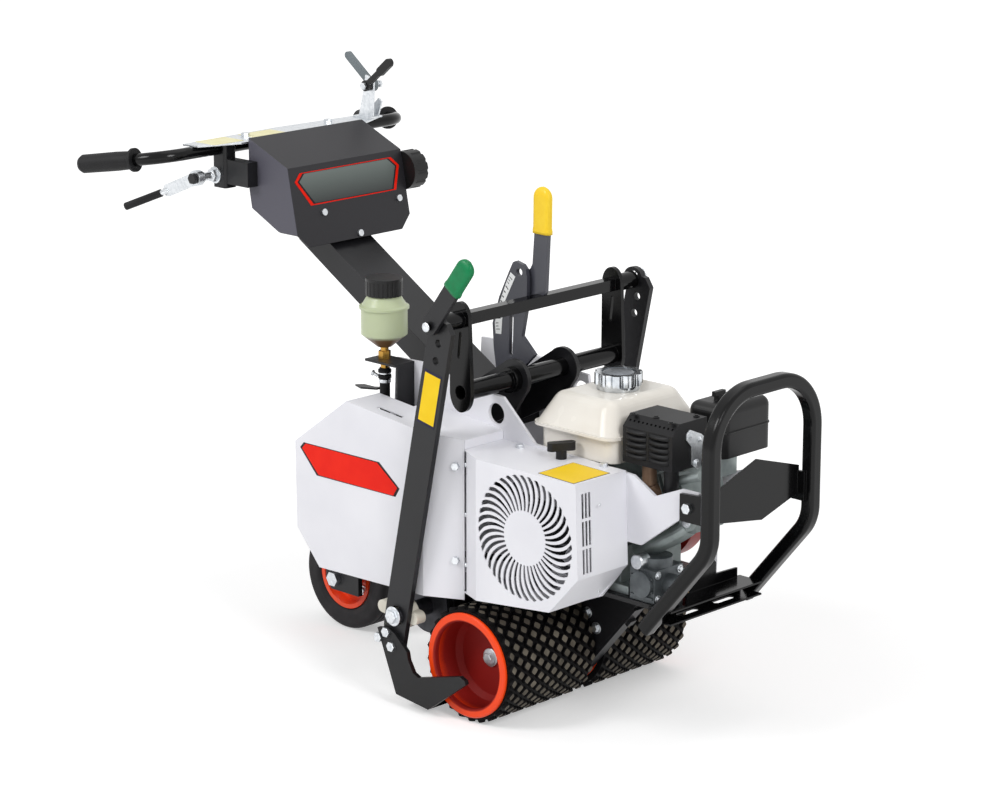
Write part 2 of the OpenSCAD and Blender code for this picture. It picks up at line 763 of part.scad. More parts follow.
module rocker_frame() {
  placed("#1f1f22") {
    difference() {
      rod_y(tube_x, tube_z, -rocker_half, rocker_half, tube_r, round_fn);
      rod_y(tube_x, tube_z, -rocker_half - 1, rocker_half + 1, tube_r - 4, round_fn);
    }
    both_sides() plate_xz(rocker_half - 8, 8) difference() {
      rocker_plate_shape();
      translate([tube_x, tube_z]) circle(r = tube_r, $fn = round_fn);
    }
    both_sides() translate([0, support_in + support_t + clear, 0]) difference() {
      rod_y(tube_x, tube_z, 0, 14, tube_r + 6);
      rod_y(tube_x, tube_z, -1, 15, tube_r);
    }
    translate([bar_x - bar_s / 2, -rocker_half + 8, bar_z - bar_s / 2]) cube([bar_s, 2 * rocker_half - 16, bar_s]);
    both_sides() {
      rod_y(bar_x, bar_z, rocker_half, arm_in - 2, 15);
      rod_y(bar_x, bar_z, arm_in - 2, pin_end, pin_r);
    }
  }
}

lever_plate_y = 6;

module depth_lever() {
  foot_z = bar_z + bar_s / 2;
  placed("#3a393e") plate_xz(lever_plate_y, 8)
    polygon([[bar_x - 10, foot_z], [bar_x + 10, foot_z], [bar_x + 27, foot_z + 10], [bar_x + 29, foot_z + 120],
      [bar_x + 29, foot_z + depth_lever_l - 4], [bar_x + 1, foot_z + depth_lever_l - 4], [bar_x + 1, foot_z + 64],
      [bar_x - 14, foot_z + 56]]);
}

module depth_grip() {
  z0 = bar_z + bar_s / 2 + depth_lever_l - 88;
  placed("gold") difference() {
    plate_xz(lever_plate_y - 3, 14) {
      translate([bar_x - 2, z0]) square([34, 78]);
      translate([bar_x + 15, z0 + 78]) circle(r = 17, $fn = small_fn);
    }
    plate_xz(lever_plate_y, 8) translate([bar_x + 1, z0 - 1]) square([28, 85]);
  }
}

module quadrant() {
  x0 = column_foot_x + 8;
  placed("#3a393e") plate_xz(-4, 8) difference() {
    polygon([[x0, frame_z + 300], [x0, frame_z + 322], [-152, frame_z + 371], [-155, frame_z + 414],
      [-139, frame_z + 463], [-117, frame_z + 508], [-105, frame_z + 529], [-92, frame_z + 529], [-72, frame_z + 514],
      [-90, frame_z + 490], [-100, frame_z + 445], [-98, frame_z + 401], [-86, frame_z + 378], [-92, frame_z + 340],
      [-110, frame_z + 300]]);
    translate([-92, frame_z + 512]) circle(r = 7, $fn = small_fn);
    strip([-124, frame_z + 380], [-121, frame_z + 452], 3.5);
  }
}

lock_lean = 37;
lock_dir = [sin(lock_lean), cos(lock_lean)];

lock_y = -arm_in - arm_t - 12;
lock_l = 118;
lock_w = 31;

module lock_strip() {
  a = [bar_x, bar_z];
  plate_xz(lock_y, 8) strip(a, a + lock_l * lock_dir, lock_w / 2);
}

module lock_lever() {
  placed("#3a393e") difference() {
    lock_strip();
    rod_y(bar_x, bar_z, lock_y - 1, lock_y + 9, pin_r + running);
  }
}

module lock_grip() {
  a = [bar_x, bar_z];
  placed("seagreen") difference() {
    plate_xz(lock_y - 3, 14) strip(a + 84 * lock_dir, a + (lock_l + 3) * lock_dir, lock_w / 2 + 2);
    plate_xz(lock_y - 4, 16) translate(a) rotate(-lock_lean) square([60, 2 * 84], center = true);
    lock_strip();
  }
}

// Blade arms and blade

pin_v = [bar_x - ecc_x, bar_z - ecc_z];
arm_tilt = 11.9;
arm_u = [sin(arm_tilt), cos(arm_tilt)];
arm_top = pin_v * arm_u + 12;
bearing_y = arm_in - 20;

function on_arm(l, w) = [ecc_x, ecc_z] + l * arm_u + w * [arm_u[1], -arm_u[0]];

module arm_shape() {
  eye = ecc_throw + 12 + slack;
  difference() {
    union() {
      polygon([on_arm(-58, -arm_w / 2 + 6), on_arm(-58, arm_w / 2), on_arm(arm_top - 14, arm_w / 2),
        on_arm(arm_top, arm_w / 2 - 14), on_arm(arm_top, -arm_w / 2), on_arm(-20, -arm_w / 2)]);
      translate([bar_x, bar_z]) circle(r = 22, $fn = small_fn);
    }
    translate([ecc_x, ecc_z]) circle(r = eye, $fn = small_fn);
    strip([bar_x - 1.5, bar_z - 4], [bar_x + 1.5, bar_z + 4], pin_r + 5);
    for (l = [500, 469]) translate(on_arm(l, 1)) circle(r = arm_hole_r, $fn = small_fn);
    for (p = leg_bolts) translate(p) circle(r = 5, $fn = 24);
  }
}

leg_bolts = [[ecc_x - 15, ecc_z - 31], [ecc_x - 34, ecc_z - 44], [ecc_x - 3, ecc_z - 54]];

module blade_arm_right() {
  placed("#2b2a2e") plate_xz(-arm_in - arm_t, arm_t) arm_shape();
}

module blade_arm_left() {
  placed("#2b2a2e") plate_xz(arm_in, arm_t) arm_shape();
}

leg_y = arm_in + arm_t;
blade_low = ecc_z - 146;

module leg_shape() {
  polygon([[ecc_x - 38, ecc_z - 28], [ecc_x - 10, ecc_z - 24], [ecc_x + 4, ecc_z - 30], [ecc_x + 33, ecc_z - 56],
    [ecc_x + 36, ecc_z - 70], [ecc_x + 48, ecc_z - 90], [ecc_x + 60, ecc_z - 95], [ecc_x + 158, ecc_z - 69],
    [ecc_x + 170, ecc_z - 74], [ecc_x + 172, ecc_z - 80], [ecc_x + 83, blade_low], [ecc_x + 6, blade_low + 9]]);
}

module sod_blade() {
  placed("#2f2e32") {
    both_sides() plate_xz(leg_y, blade_t) difference() {
      leg_shape();
      for (p = leg_bolts) translate(p) circle(r = 5, $fn = 24);
    }
    plate_xz(-leg_y, 2 * leg_y) polygon([[ecc_x + 6, blade_low + 9], [ecc_x + 83, blade_low],
      [ecc_x + 78, blade_low + 5], [ecc_x + 7, blade_low + 9 + blade_t]]);
  }
}

module blade_bolts() {
  placed("silver") both_sides() for (p = leg_bolts) {
    rod_y(p[0], p[1], arm_in, leg_y + blade_t, 5, 24);
    hex_y(p[0], p[1], leg_y + blade_t, 5, 9);
    rod_y(p[0], p[1], arm_in - 6, arm_in, 8, 6);
  }
}

module arm_bearings() {
  eye = ecc_throw + 12 + slack;
  placed("#e6e2d6") both_sides() plate_xz(bearing_y, arm_in - bearing_y) difference() {
    union() {
      translate([ecc_x, ecc_z]) circle(r = 26, $fn = small_fn);
      strip([ecc_x - 44, ecc_z + 4], [ecc_x + 30, ecc_z - 2], 11);
    }
    translate([ecc_x, ecc_z]) circle(r = eye, $fn = small_fn);
  }
}

// Blade drive

housing_half = -blade_belt_y - 15;

module grooved_pulley(x, z, y, r) {
  turned_y(x, z) translate([0, y]) polygon([[0, -belt_w / 2 - 4], [r + belt_t - 2, -belt_w / 2 - 4],
    [r + belt_t - 2, -belt_w / 2 - 1.5], [r, -belt_w / 2 - 1], [r, belt_w / 2 + 1], [r + belt_t - 2, belt_w / 2 + 1.5],
    [r + belt_t - 2, belt_w / 2 + 4], [0, belt_w / 2 + 4]]);
}

module eccentric_shaft() {
  placed("#3c3c40") {
    rod_y(ecc_x, ecc_z, -arm_in + 26, arm_in - 26, 15);
    both_sides() rod_y(ecc_x + ecc_throw, ecc_z, arm_in - 26, arm_in + arm_t + 2, 12);
    both_sides() hex_y(ecc_x + ecc_throw, ecc_z, arm_in + arm_t + 2, 5, 13);
    grooved_pulley(ecc_x, ecc_z, blade_belt_y, ecc_pulley_r);
  }
}

module eccentric_housing() {
  placed("#242428") {
    difference() {
      rod_y(ecc_x, ecc_z, -housing_half, housing_half, ecc_tube_r, round_fn);
      rod_y(ecc_x, ecc_z, -housing_half + 20, housing_half - 20, ecc_tube_r - 5, round_fn);
      rod_y(ecc_x, ecc_z, -housing_half - 1, housing_half + 1, 15 + running);
    }
    both_sides() difference() {
      translate([ecc_x - 30, plate_in, ecc_z]) cube([60, plate_t, frame_z - ecc_z]);
      rod_y(ecc_x, ecc_z, plate_in - 1, frame_half + 1, ecc_tube_r, round_fn);
    }
  }
}

crank_r = 12.5;
crank_end = -52;

module crank_pulley() {
  placed("#3c3c40") {
    rod_y(crank_x, crank_z, belt_y - 8, crank_end, crank_r);
    grooved_pulley(crank_x, crank_z, belt_y, crank_pulley_r);
    rod_y(crank_x, crank_z, belt_y - 27, belt_y - 8, 40);
    translate([crank_x, belt_y - 27, crank_z]) rotate([-90, 0, 0]) for (a = [0 : 30 : 330]) rotate([0, 0, a])
      translate([30, -2, 0]) cube([fan_r - 30, 4, 14]);
  }
}

module jackshaft() {
  placed("#3c3c40") {
    rod_y(jack_x, jack_z, belt_y - 12, -plate_in + 8, 10);
    grooved_pulley(jack_x, jack_z, belt_y, jack_big_r);
    grooved_pulley(jack_x, jack_z, blade_belt_y, jack_small_r);
  }
}

module belt_loop(a, ra, b, rb, y) {
  plate_xz(y - belt_w / 2, belt_w) difference() {
    loop_shape(a, ra + belt_t, b, rb + belt_t);
    loop_shape(a, ra + clear, b, rb + clear);
  }
}

module drive_belts() {
  placed("#141416") {
    belt_loop([crank_x, crank_z], crank_pulley_r, [jack_x, jack_z], jack_big_r, belt_y);
    belt_loop([jack_x, jack_z], jack_small_r, [ecc_x, ecc_z], ecc_pulley_r, blade_belt_y);
  }
}

// Transmission and rollers

module hydro_unit() {
  placed("#55585a") {
    translate([248, -98, deck_z]) cube([53, 70, 56]);
    rod_y(275, deck_z + 30, -104, -97, 22);
    translate([275, -63, deck_z + 56]) cylinder(r = 26, h = 16, $fn = small_fn);
    rod_x(-63, deck_z + 28, 300, 328, 18);
  }
}

case_front = [[62, axle_z - 46], [205, deck_z - deck_t - 18]];

module chain_case() {
  boss_half = roller_in - slack;
  placed("#1f1f22") difference() {
    union() {
      plate_xz(-case_t / 2, case_t) polygon([[-60, deck_z - deck_t], [-26, axle_z - 46], case_front[0], case_front[1],
        [215, deck_z - deck_t]]);
      rod_y(0, axle_z, -boss_half, boss_half, 40);
    }
    rod_y(0, axle_z, -roller_in, roller_in, axle_r + running);
  }
}

module scraper() {
  a = case_front[0];
  u = unit(case_front[1] - a);
  n = [u[1], -u[0]];
  placed("#242428") {
    plate_xz(-case_t / 2, case_t) polygon([a + 6 * u, a + 180 * u, a + 180 * u + 5 * n, a + 6 * u + 5 * n]);
    plate_xz(-7, 14) polygon([a + 140 * u + 4 * n, a + 154 * u + 4 * n, a + 154 * u + 11 * n, a + 140 * u + 11 * n]);
  }
}

hub_r = 26;
web_t = 6;
web_out = roller_out - dish_depth;
nut_h = 14;

module drive_axle() {
  placed("silver") {
    rod_y(0, axle_z, -web_out, web_out, axle_r);
    both_sides() hex_y(0, axle_z, web_out, nut_h, 20);
  }
}

module rim_shape() {
  turned_y(0, axle_z) polygon([[barrel_r - rim_wall, roller_in], [barrel_r, roller_in], [barrel_r, roller_out - lip_w],
    [barrel_r + lip_h, roller_out - lip_w], [barrel_r + lip_h, roller_out - 2], [barrel_r + lip_h - 2, roller_out],
    [barrel_r - rim_wall - 2, roller_out], [barrel_r - rim_wall - 5, roller_out - 3], [barrel_r - rim_wall - 5, roller_out - 10],
    [barrel_r - rim_wall - 2, roller_out - 14], [barrel_r - rim_wall - 6, web_out + 10], [barrel_r - rim_wall - 14, web_out],
    [axle_r + running, web_out], [axle_r + running, web_out - 40], [hub_r, web_out - 40], [hub_r, web_out - web_t],
    [barrel_r - rim_wall, web_out - web_t]]);
}

module rim_left() {
  placed("orangered") rim_shape();
}

module rim_right() {
  placed("orangered") mirror([0, 1, 0]) rim_shape();
}

// Outline of one row of knobs, with the valleys sunk below the sleeve
function knob_ring(n, r0, r1) = [for (i = [0 : n - 1], s = [[-0.4, r0], [-0.26, r1], [0.26, r1], [0.4, r0]])
  let (a = (i + s[0]) * 360 / n) s[1] / cos(0.24 * 360 / n) * [cos(a), sin(a)]];

// Strips of rubber lagging round a roller, and the joint between two of them
strip_count = 10;
strip_gap = 0.1;

module tread_shape() {
  base_r = roller_r - knob_h;
  w = roller_w - lip_w;
  pitch = w / knob_rows;
  knob_w = 0.68 * pitch;
  translate([0, roller_in, axle_z]) rotate([-90, 0, 0]) rotate([0, 0, 90]) difference() {
    union() {
      cylinder(r = base_r, h = w, $fn = round_fn);
      for (i = [0 : knob_rows - 1]) translate([0, 0, (i + 0.5) * pitch - knob_w / 2])
        rotate([0, 0, (i % 2) * 180 / knob_count]) linear_extrude(knob_w)
          polygon(knob_ring(knob_count, base_r - 1, roller_r));
    }
    translate([0, 0, -1]) cylinder(r = barrel_r, h = w + 2, $fn = round_fn);
    for (i = [0 : strip_count / 2 - 1]) rotate([0, 0, i * 360 / strip_count])
      translate([-roller_r - 5, -strip_gap / 2, -1]) cube([2 * roller_r + 10, strip_gap, w + 2]);
  }
}

module tread_left() {
  placed("#1c1b1c") tread_shape();
}

module tread_right() {
  placed("#1c1b1c") mirror([0, 1, 0]) tread_shape();
}

module tail_rim() {
  hub_half = fork_in - slack;
  placed("orangered") turned_y(-wheelbase, tail_r) polygon([[tail_bolt_r + running, -hub_half], [22, -hub_half], [22, -8],
    [tail_rim_r - 10, -8], [tail_rim_r - 8, -tail_w / 2 + 4], [tail_rim_r, -tail_w / 2 + 4], [tail_rim_r, tail_w / 2 - 4],
    [tail_rim_r - 8, tail_w / 2 - 4], [tail_rim_r - 10, 8], [22, 8], [22, hub_half], [tail_bolt_r + running, hub_half]]);
}

module tail_tyre() {
  placed("#2a282b") turned_y(-wheelbase, tail_r) difference() {
    translate([(tail_rim_r + tail_r) / 2, 0]) round_rect(tail_r - tail_rim_r, tail_w, 12);
    for (y = [-12, 0, 12]) translate([tail_r, y]) square([6, 3], center = true);
  }
}

// Engine

cyl_lean = 20;
cyl_at = [190, deck_z + 118];

module engine_block() {
  placed("#8b8d8f") difference() {
    union() {
      translate([crank_x - 88, -88, deck_z]) cube([190, 88 + recoil_y, 14]);
      translate([crank_x - 72, -80, deck_z + 14]) cube([150, 150, 60]);
      rod_y(crank_x, crank_z, -86, recoil_y, 74, round_fn);
      translate([crank_x - 60, -70, crank_z]) cube([110, 136, tank_z - crank_z]);
      translate([cyl_at[0], 0, cyl_at[1]]) rotate([0, -cyl_lean, 0]) {
        translate([-30, -42, -42]) cube([172, 84, 84]);
        for (i = [0 : 8]) translate([22 + i * 11, -56, -54]) cube([4, 112, 108]);
        translate([124, -50, -50]) cube([18, 100, 100]);
      }
      translate([262, 36, air_z - 40]) cube([46, 60, 40]);
    }
    rod_y(crank_x, crank_z, -90, crank_end + clear, crank_r + running);
  }
}

tank_x = 127;
tank_z = deck_z + 217;
tank_lip_z = tank_z + 42;

module fuel_tank() {
  top_r = 26;
  top_z = tank_z + tank_h;
  placed("#e5e1da") {
    translate([tank_x, 0, tank_z]) linear_extrude(tank_lip_z - tank_z) round_rect(tank_l - 12, tank_w - 26, 22);
    translate([tank_x, 0, tank_lip_z]) linear_extrude(5) round_rect(tank_l + 4, tank_w + 4, 26);
    hull() {
      translate([tank_x, 0, tank_lip_z + 5]) linear_extrude(0.5) round_rect(tank_l - 4, tank_w - 4, 24);
      for (i = [-1, 1], j = [-1, 1]) translate([tank_x + i * (tank_l / 2 - 16 - top_r), j * (tank_w / 2 - 20 - top_r), top_z - top_r])
        sphere(r = top_r, $fn = 32);
    }
    translate([cap_x, 0, top_z - 4]) cylinder(r = neck_r, h = neck_h + 4, $fn = small_fn);
  }
}

cap_x = crank_x - 3;
neck_r = 26;
neck_h = 14;

module fuel_cap() {
  top_z = tank_z + tank_h;
  placed("silver") translate([cap_x, 0, top_z + clear]) difference() {
    union() {
      cylinder(r = fuel_cap_r - 4, h = 8, $fn = round_fn);
      translate([0, 0, 8]) cylinder(r = fuel_cap_r, h = 20, $fn = round_fn);
    }
    for (a = [0 : 36 : 324]) rotate([0, 0, a]) translate([fuel_cap_r + 5, 0, 7]) cylinder(r = 9, h = 30, $fn = small_fn);
    translate([0, 0, 24]) cylinder(r = fuel_cap_r - 12, h = 10, $fn = round_fn);
    translate([0, 0, -1]) cylinder(r = neck_r + running, h = neck_h + 1, $fn = small_fn);
  }
}

muffler_x = 224;
muffler_l = 106;
muffler_z = deck_z + 226;
muffler_h = 78;
muffler_y = -92;
muffler_w = 84;

pipe_x = cyl_at[0] + 133 * cos(cyl_lean);
pipe_z = cyl_at[1] + 133 * sin(cyl_lean);

module muffler() {
  placed("#3d3c40") difference() {
    union() {
      plate_yz(muffler_x, muffler_l) polygon([[muffler_y, muffler_z], [muffler_y + muffler_w, muffler_z],
        [muffler_y + muffler_w, muffler_z + muffler_h], [muffler_y + 18, muffler_z + muffler_h],
        [muffler_y, muffler_z + muffler_h - 18]]);
      translate([pipe_x, muffler_y + 16, pipe_z - 12]) cylinder(r = 12, h = muffler_z - pipe_z + 13, $fn = small_fn);
      rod_y(pipe_x, pipe_z, muffler_y + 16, -50, 11);
    }
    for (i = [0, 1], j = [0 : 4]) translate([muffler_x + 9 + i * 47, muffler_y - 1, muffler_z + 10 + j * 9.5])
      cube([41, 5, 4]);
    for (i = [0 : 10]) translate([muffler_x + 8 + i * 9, muffler_y + 9, muffler_z + muffler_h - 9]) rotate([45, 0, 0])
      cylinder(r = 2, h = 12, center = true, $fn = 24);
  }
}

air_x = 255;
air_y = 28;
air_z = deck_z + 224;
air_l = 80;
air_w = 125;
air_h = 88;

module air_cleaner() {
  r = 16;
  placed("#222224") {
    hull() for (i = [r, air_l - r], j = [r, air_w - r]) translate([air_x + i, air_y + j, air_z]) {
      cylinder(r = r, h = air_h - r, $fn = 32);
      translate([0, 0, air_h - r]) sphere(r = r, $fn = 32);
    }
    translate([air_x + 37, air_y + 38, air_z + air_h - 2]) cylinder(r = 8, h = 10, $fn = small_fn);
    translate([air_x + 37, air_y + 38, air_z + air_h + 11]) cube([8, 26, 8], center = true);
  }
}

recoil_y = 80;
recoil_r = 102;

module recoil_housing() {
  placed("firebrick") {
    difference() {
      turned_y(crank_x, crank_z) polygon([[0, recoil_y], [recoil_r, recoil_y], [recoil_r, recoil_y + 34],
        [recoil_r - 14, recoil_y + 48], [70, recoil_y + 52], [62, recoil_y + 70], [0, recoil_y + 74]]);
      for (a = [0 : 20 : 340]) translate([crank_x, 0, crank_z]) rotate([-90, 0, 0]) rotate([0, 0, a])
        translate([36, -2.5, recoil_y + 60]) cube([22, 5, 30]);
    }
    translate([crank_x + 60, recoil_y + 22, crank_z + 62]) cube([34, 30, 34]);
  }
}

module starter_grip() {
  x = crank_x + 77;
  z = crank_z + 79;
  placed("#161618") {
    rod_y(x, z, recoil_y + 52 + clear, recoil_y + 64, 5);
    translate([x, recoil_y + 78, z]) rotate([90, 0, 0]) linear_extrude(16) round_rect(22, 52, 8);
  }
}

// Front guard

guard_weld = 1;
flange_out = guard_half - guard_s / 2 + guard_weld;
guard_up = 134;
lower_bend_r = 70;
leg_l = 180;
guard_edge = 6;
weld_gap = 0.02;
slot_pitch = 90;
slot_l = 50;
slot_r = 7;

module guard_half_hoop() {
  top_half = guard_half - guard_bend_r;
  up_z = guard_top - guard_bend_r - guard_up;
  translate([guard_x, top_half, guard_top - guard_bend_r]) rotate([90, 0, 90])
    rotate_extrude(angle = 90, $fn = round_fn) translate([guard_bend_r, 0]) round_square(guard_s, guard_edge);
  translate([guard_x, guard_half, up_z]) linear_extrude(guard_up) round_square(guard_s, guard_edge);
  translate([guard_x - lower_bend_r, guard_half, up_z]) rotate([-90, 0, 0])
    rotate_extrude(angle = guard_lean, $fn = round_fn) translate([lower_bend_r, 0]) round_square(guard_s, guard_edge);
  guard_leg() linear_extrude(leg_l) round_square(guard_s, guard_edge);
}

// Places a piece along the hoop's sloping leg, from the leg's foot upwards
module guard_leg() {
  up_z = guard_top - guard_bend_r - guard_up;
  translate([guard_x - lower_bend_r * (1 - cos(guard_lean)), guard_half, up_z - lower_bend_r * sin(guard_lean)])
    rotate([0, guard_lean, 0]) translate([0, 0, -leg_l - weld_gap]) children();
}

module guard_hoop() {
  inner = guard_half - guard_s / 2;
  up_z = guard_top - guard_bend_r - guard_up;
  channel_x = guard_x - lower_bend_r * (1 - cos(guard_lean)) - (leg_l - 30) * sin(guard_lean);
  channel_z = up_z - lower_bend_r * sin(guard_lean) - (leg_l - 30) * cos(guard_lean);
  placed("#1f1f22") {
    translate([guard_x, guard_bend_r - guard_half, guard_top]) rotate([-90, 0, 0])
      linear_extrude(2 * (guard_half - guard_bend_r)) round_square(guard_s, guard_edge);
    both_sides() guard_half_hoop();
    both_sides() plate_xz(frame_half, flange_out - frame_half) difference() {
      polygon([[366, frame_z + 195], [guard_x, frame_z + 195], [guard_x, frame_z + 245], [366, frame_z + 240]]);
      translate(guard_bolt) circle(r = guard_bolt_r, $fn = small_fn);
    }
    difference() {
      translate([channel_x - 24, -flange_out, channel_z - 12]) cube([48, 2 * flange_out, 24]);
      translate([channel_x - 21, -inner - 5, channel_z - 9]) cube([60, 2 * inner + 10, 18]);
      for (y = [-slot_pitch / 2, slot_pitch / 2]) translate([channel_x, y, channel_z - 20]) linear_extrude(20)
        strip([0, slot_r - slot_l / 2], [0, slot_l / 2 - slot_r], slot_r);
    }
    plate_yz(channel_x - 24, 4) polygon([[-24, channel_z + 10], [104, channel_z + 10], [104, channel_z + 28],
      [49, channel_z + 30], [49, channel_z + 50], [45, channel_z + 54], [-24, channel_z + 56]]);
    plate_yz(guard_x - 18, 4) polygon([[-inner + 2, frame_z + 244], [5, frame_z + 284], [inner - 2, frame_z + 253],
      [inner - 2, frame_z + 207], [19, frame_z + 180], [-inner + 2, frame_z + 200]]);
  }
}

side_plate_right();
side_plate_left();
engine_deck();
tail_fork();
column();
console();
top_plate();
handlebar();
grip_right();
grip_left();
handle_clamps();
console_knob();
drive_lever();
lever_sleeve();
lever_bracket();
clutch_lever();
throttle_lever();
rear_cover();
fan_cover();
cover_knob();
frame_bolts();
reservoir_bracket();
reservoir_bottle();
reservoir_cap();
reservoir_fitting();
reservoir_hose();
rocker_frame();
depth_lever();
depth_grip();
quadrant();
lock_lever();
lock_grip();
blade_arm_right();
blade_arm_left();
sod_blade();
blade_bolts();
arm_bearings();
eccentric_shaft();
eccentric_housing();
crank_pulley();
jackshaft();
drive_belts();
hydro_unit();
chain_case();
scraper();
drive_axle();
rim_right();
rim_left();
tread_right();
tread_left();
tail_rim();
tail_tyre();
engine_block();
fuel_tank();
fuel_cap();
muffler();
air_cleaner();
recoil_housing();
starter_grip();
guard_hoop();
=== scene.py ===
import math

import bmesh
import bpy
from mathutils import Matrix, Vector
from mathutils.geometry import tessellate_polygon


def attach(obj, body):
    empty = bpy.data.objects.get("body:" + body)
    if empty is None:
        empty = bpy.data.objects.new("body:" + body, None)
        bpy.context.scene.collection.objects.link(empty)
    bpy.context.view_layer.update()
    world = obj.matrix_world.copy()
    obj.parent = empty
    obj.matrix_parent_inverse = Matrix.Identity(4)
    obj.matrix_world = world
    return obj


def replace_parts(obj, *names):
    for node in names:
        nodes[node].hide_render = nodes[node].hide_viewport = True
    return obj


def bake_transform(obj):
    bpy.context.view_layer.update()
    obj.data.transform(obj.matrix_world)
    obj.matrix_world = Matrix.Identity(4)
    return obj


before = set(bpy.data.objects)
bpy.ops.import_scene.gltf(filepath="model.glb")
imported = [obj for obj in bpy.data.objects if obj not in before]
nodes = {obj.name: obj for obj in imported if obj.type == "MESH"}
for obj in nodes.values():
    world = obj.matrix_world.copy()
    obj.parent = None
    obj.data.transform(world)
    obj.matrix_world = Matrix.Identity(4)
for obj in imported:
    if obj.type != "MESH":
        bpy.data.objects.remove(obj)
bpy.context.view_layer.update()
scene = bpy.context.scene

# Set-out of the machine in millimetres from the drive axle, as the part has it
AXLE_X = 195.385
AXLE_Z = 100.0
ROLLER_IN = 14.0
ROLLER_OUT = 228.0
TREAD_R = 94.0
KNOB_R = 100.0
COVER_Y = -228.0
COVER_TOP = 463.0
ARM_TILT = math.radians(11.9)
ECCENTRIC = (-145.0, 160.0)

# Directions of the machine
RIGHT = (0, -1, 0)
LEFT = (0, 1, 0)
UP = (0, 0, 1)
FRONT = (1, 0, 0)

# Places in millimetres where a look changes: rim radius (inside it the painted shade of the dish), console
# side (beyond it a painted reflection), badge height and oil level
RIM_LIP = (77.5, 80.5)
CONSOLE_SHEEN_START = (136.4, 136.8)
BADGE_FADE = (790.0, 850.0)
OIL_LEVEL = (601.0, 609.0)

# Rounding of the edges in the shading
EDGE_MM = 1.2


def at(x, y, z):
    """A point in millimetres from the drive axle, as metres in the row frame."""
    return Vector(((x + AXLE_X) / 1000, y / 1000, z / 1000))


# Materials

def linear(hex_colour):
    """An sRGB hex colour as linear RGBA."""
    out = []
    for i in (1, 3, 5):
        c = int(hex_colour[i:i + 2], 16) / 255
        out.append(c / 12.92 if c <= 0.04045 else ((c + 0.055) / 1.055) ** 2.4)
    return (*out, 1.0)


def add(tree, kind, settings=None, **links):
    """Adds one node with its settings, and its socket values or links by name or by place (i0, i1, i2)."""
    node = tree.nodes.new(kind)
    for key, value in (settings or {}).items():
        setattr(node, key, value)
    for key, value in links.items():
        by_place = key[0] == "i" and key[1:].isdigit()
        socket = node.inputs[int(key[1:]) if by_place else key.replace("_", " ")]
        if isinstance(value, bpy.types.NodeSocket):
            tree.links.new(value, socket)
        else:
            socket.default_value = value
    return node


def new_material(name, **sockets):
    """A material with a Principled surface and its fixed sockets, its tree and its object coordinates."""
    mat = bpy.data.materials.new(name)
    mat.use_nodes = True
    tree = mat.node_tree
    tree.nodes.clear()
    surface = add(tree, "ShaderNodeBsdfPrincipled", **sockets)
    add(tree, "ShaderNodeOutputMaterial", Surface=surface.outputs[0])
    place = add(tree, "ShaderNodeTexCoord").outputs["Object"]
    return mat, tree, surface, place


def dress(tree, surface, colour, rough, relief=None, ends=(0.35, 0.65)):
    """Drives a surface by masks: two hex colours, two roughness values, and relief over rounded edges."""
    mask, dark, light = colour
    ramp = add(tree, "ShaderNodeValToRGB", Fac=mask)
    for stop, position, tone in zip(ramp.color_ramp.elements, ends, (dark, light)):
        stop.position = position
        stop.color = linear(tone)
    tree.links.new(ramp.outputs[0], surface.inputs["Base Color"])
    mask, low, high = rough
    span = add(tree, "ShaderNodeMapRange", Value=mask, To_Min=low, To_Max=high)
    tree.links.new(span.outputs[0], surface.inputs["Roughness"])
    if relief:
        height, depth_mm, strength = relief
        edge = add(tree, "ShaderNodeBevel", {"samples": 4}, Radius=EDGE_MM / 1000)
        bump = add(tree, "ShaderNodeBump", Strength=strength, Distance=depth_mm / 1000, Height=height,
                   Normal=edge.outputs[0])
        tree.links.new(bump.outputs[0], surface.inputs["Normal"])


def per_metre(size_mm):
    """Texture scale for a feature of that size."""
    return 1000 / size_mm


def powder_coat(name, dark, light, gloss, shine=0.5):
    """Baked powder coat on steel: fine orange peel, and a faint change of tone over each panel."""
    mat, tree, surface, place = new_material(name, IOR=1.5, Specular_IOR_Level=shine)
    tone = add(tree, "ShaderNodeTexNoise", Vector=place, Scale=per_metre(160), Detail=3.0).outputs[0]
    peel = add(tree, "ShaderNodeTexNoise", Vector=place, Scale=per_metre(1.6), Detail=1.0).outputs[0]
    dress(tree, surface, (tone, dark, light), (tone, gloss, gloss + 0.1), (peel, 0.05, 0.25))
    return mat


def coat_with_painted_side_sheen(name, front, side, gloss, shine):
    """Powder coat on the folded console: black, with its two sides painted a lighter grey as a painted
    reflection of bright light.
    """
    mat, tree, surface, place = new_material(name, IOR=1.5, Specular_IOR_Level=shine)
    tone = add(tree, "ShaderNodeTexNoise", Vector=place, Scale=per_metre(160), Detail=3.0).outputs[0]
    peel = add(tree, "ShaderNodeTexNoise", Vector=place, Scale=per_metre(1.6), Detail=1.0).outputs[0]
    across = add(tree, "ShaderNodeSeparateXYZ", Vector=place).outputs["Y"]
    reach = add(tree, "ShaderNodeMath", {"operation": "ABSOLUTE"}, i0=across).outputs[0]
    # The grey of the two sides is a painted reflection of a bright light, not a different coat
    mask = add(tree, "ShaderNodeMapRange", Value=reach, From_Min=CONSOLE_SHEEN_START[0] / 1000,
               From_Max=CONSOLE_SHEEN_START[1] / 1000).outputs[0]
    dress(tree, surface, (mask, front, side), (tone, gloss, gloss + 0.1), (peel, 0.05, 0.25), (0.0, 1.0))
    return mat


def zinc_plate(name, dark, light, rough):
    """Bright zinc plating: cloudy crystals a few millimetres wide over a lightly brushed base."""
    mat, tree, surface, place = new_material(name, Metallic=1.0)
    # Real crystals are under a millimetre, and these are coarser so that they show
    cloud = add(tree, "ShaderNodeTexVoronoi", Vector=place, Scale=per_metre(4)).outputs["Color"]
    grain = add(tree, "ShaderNodeTexNoise", Vector=place, Scale=per_metre(2), Detail=4.0).outputs[0]
    dress(tree, surface, (cloud, dark, light), (grain, rough, rough + 0.15), (grain, 0.04, 0.2), (0.1, 0.9))
    return mat


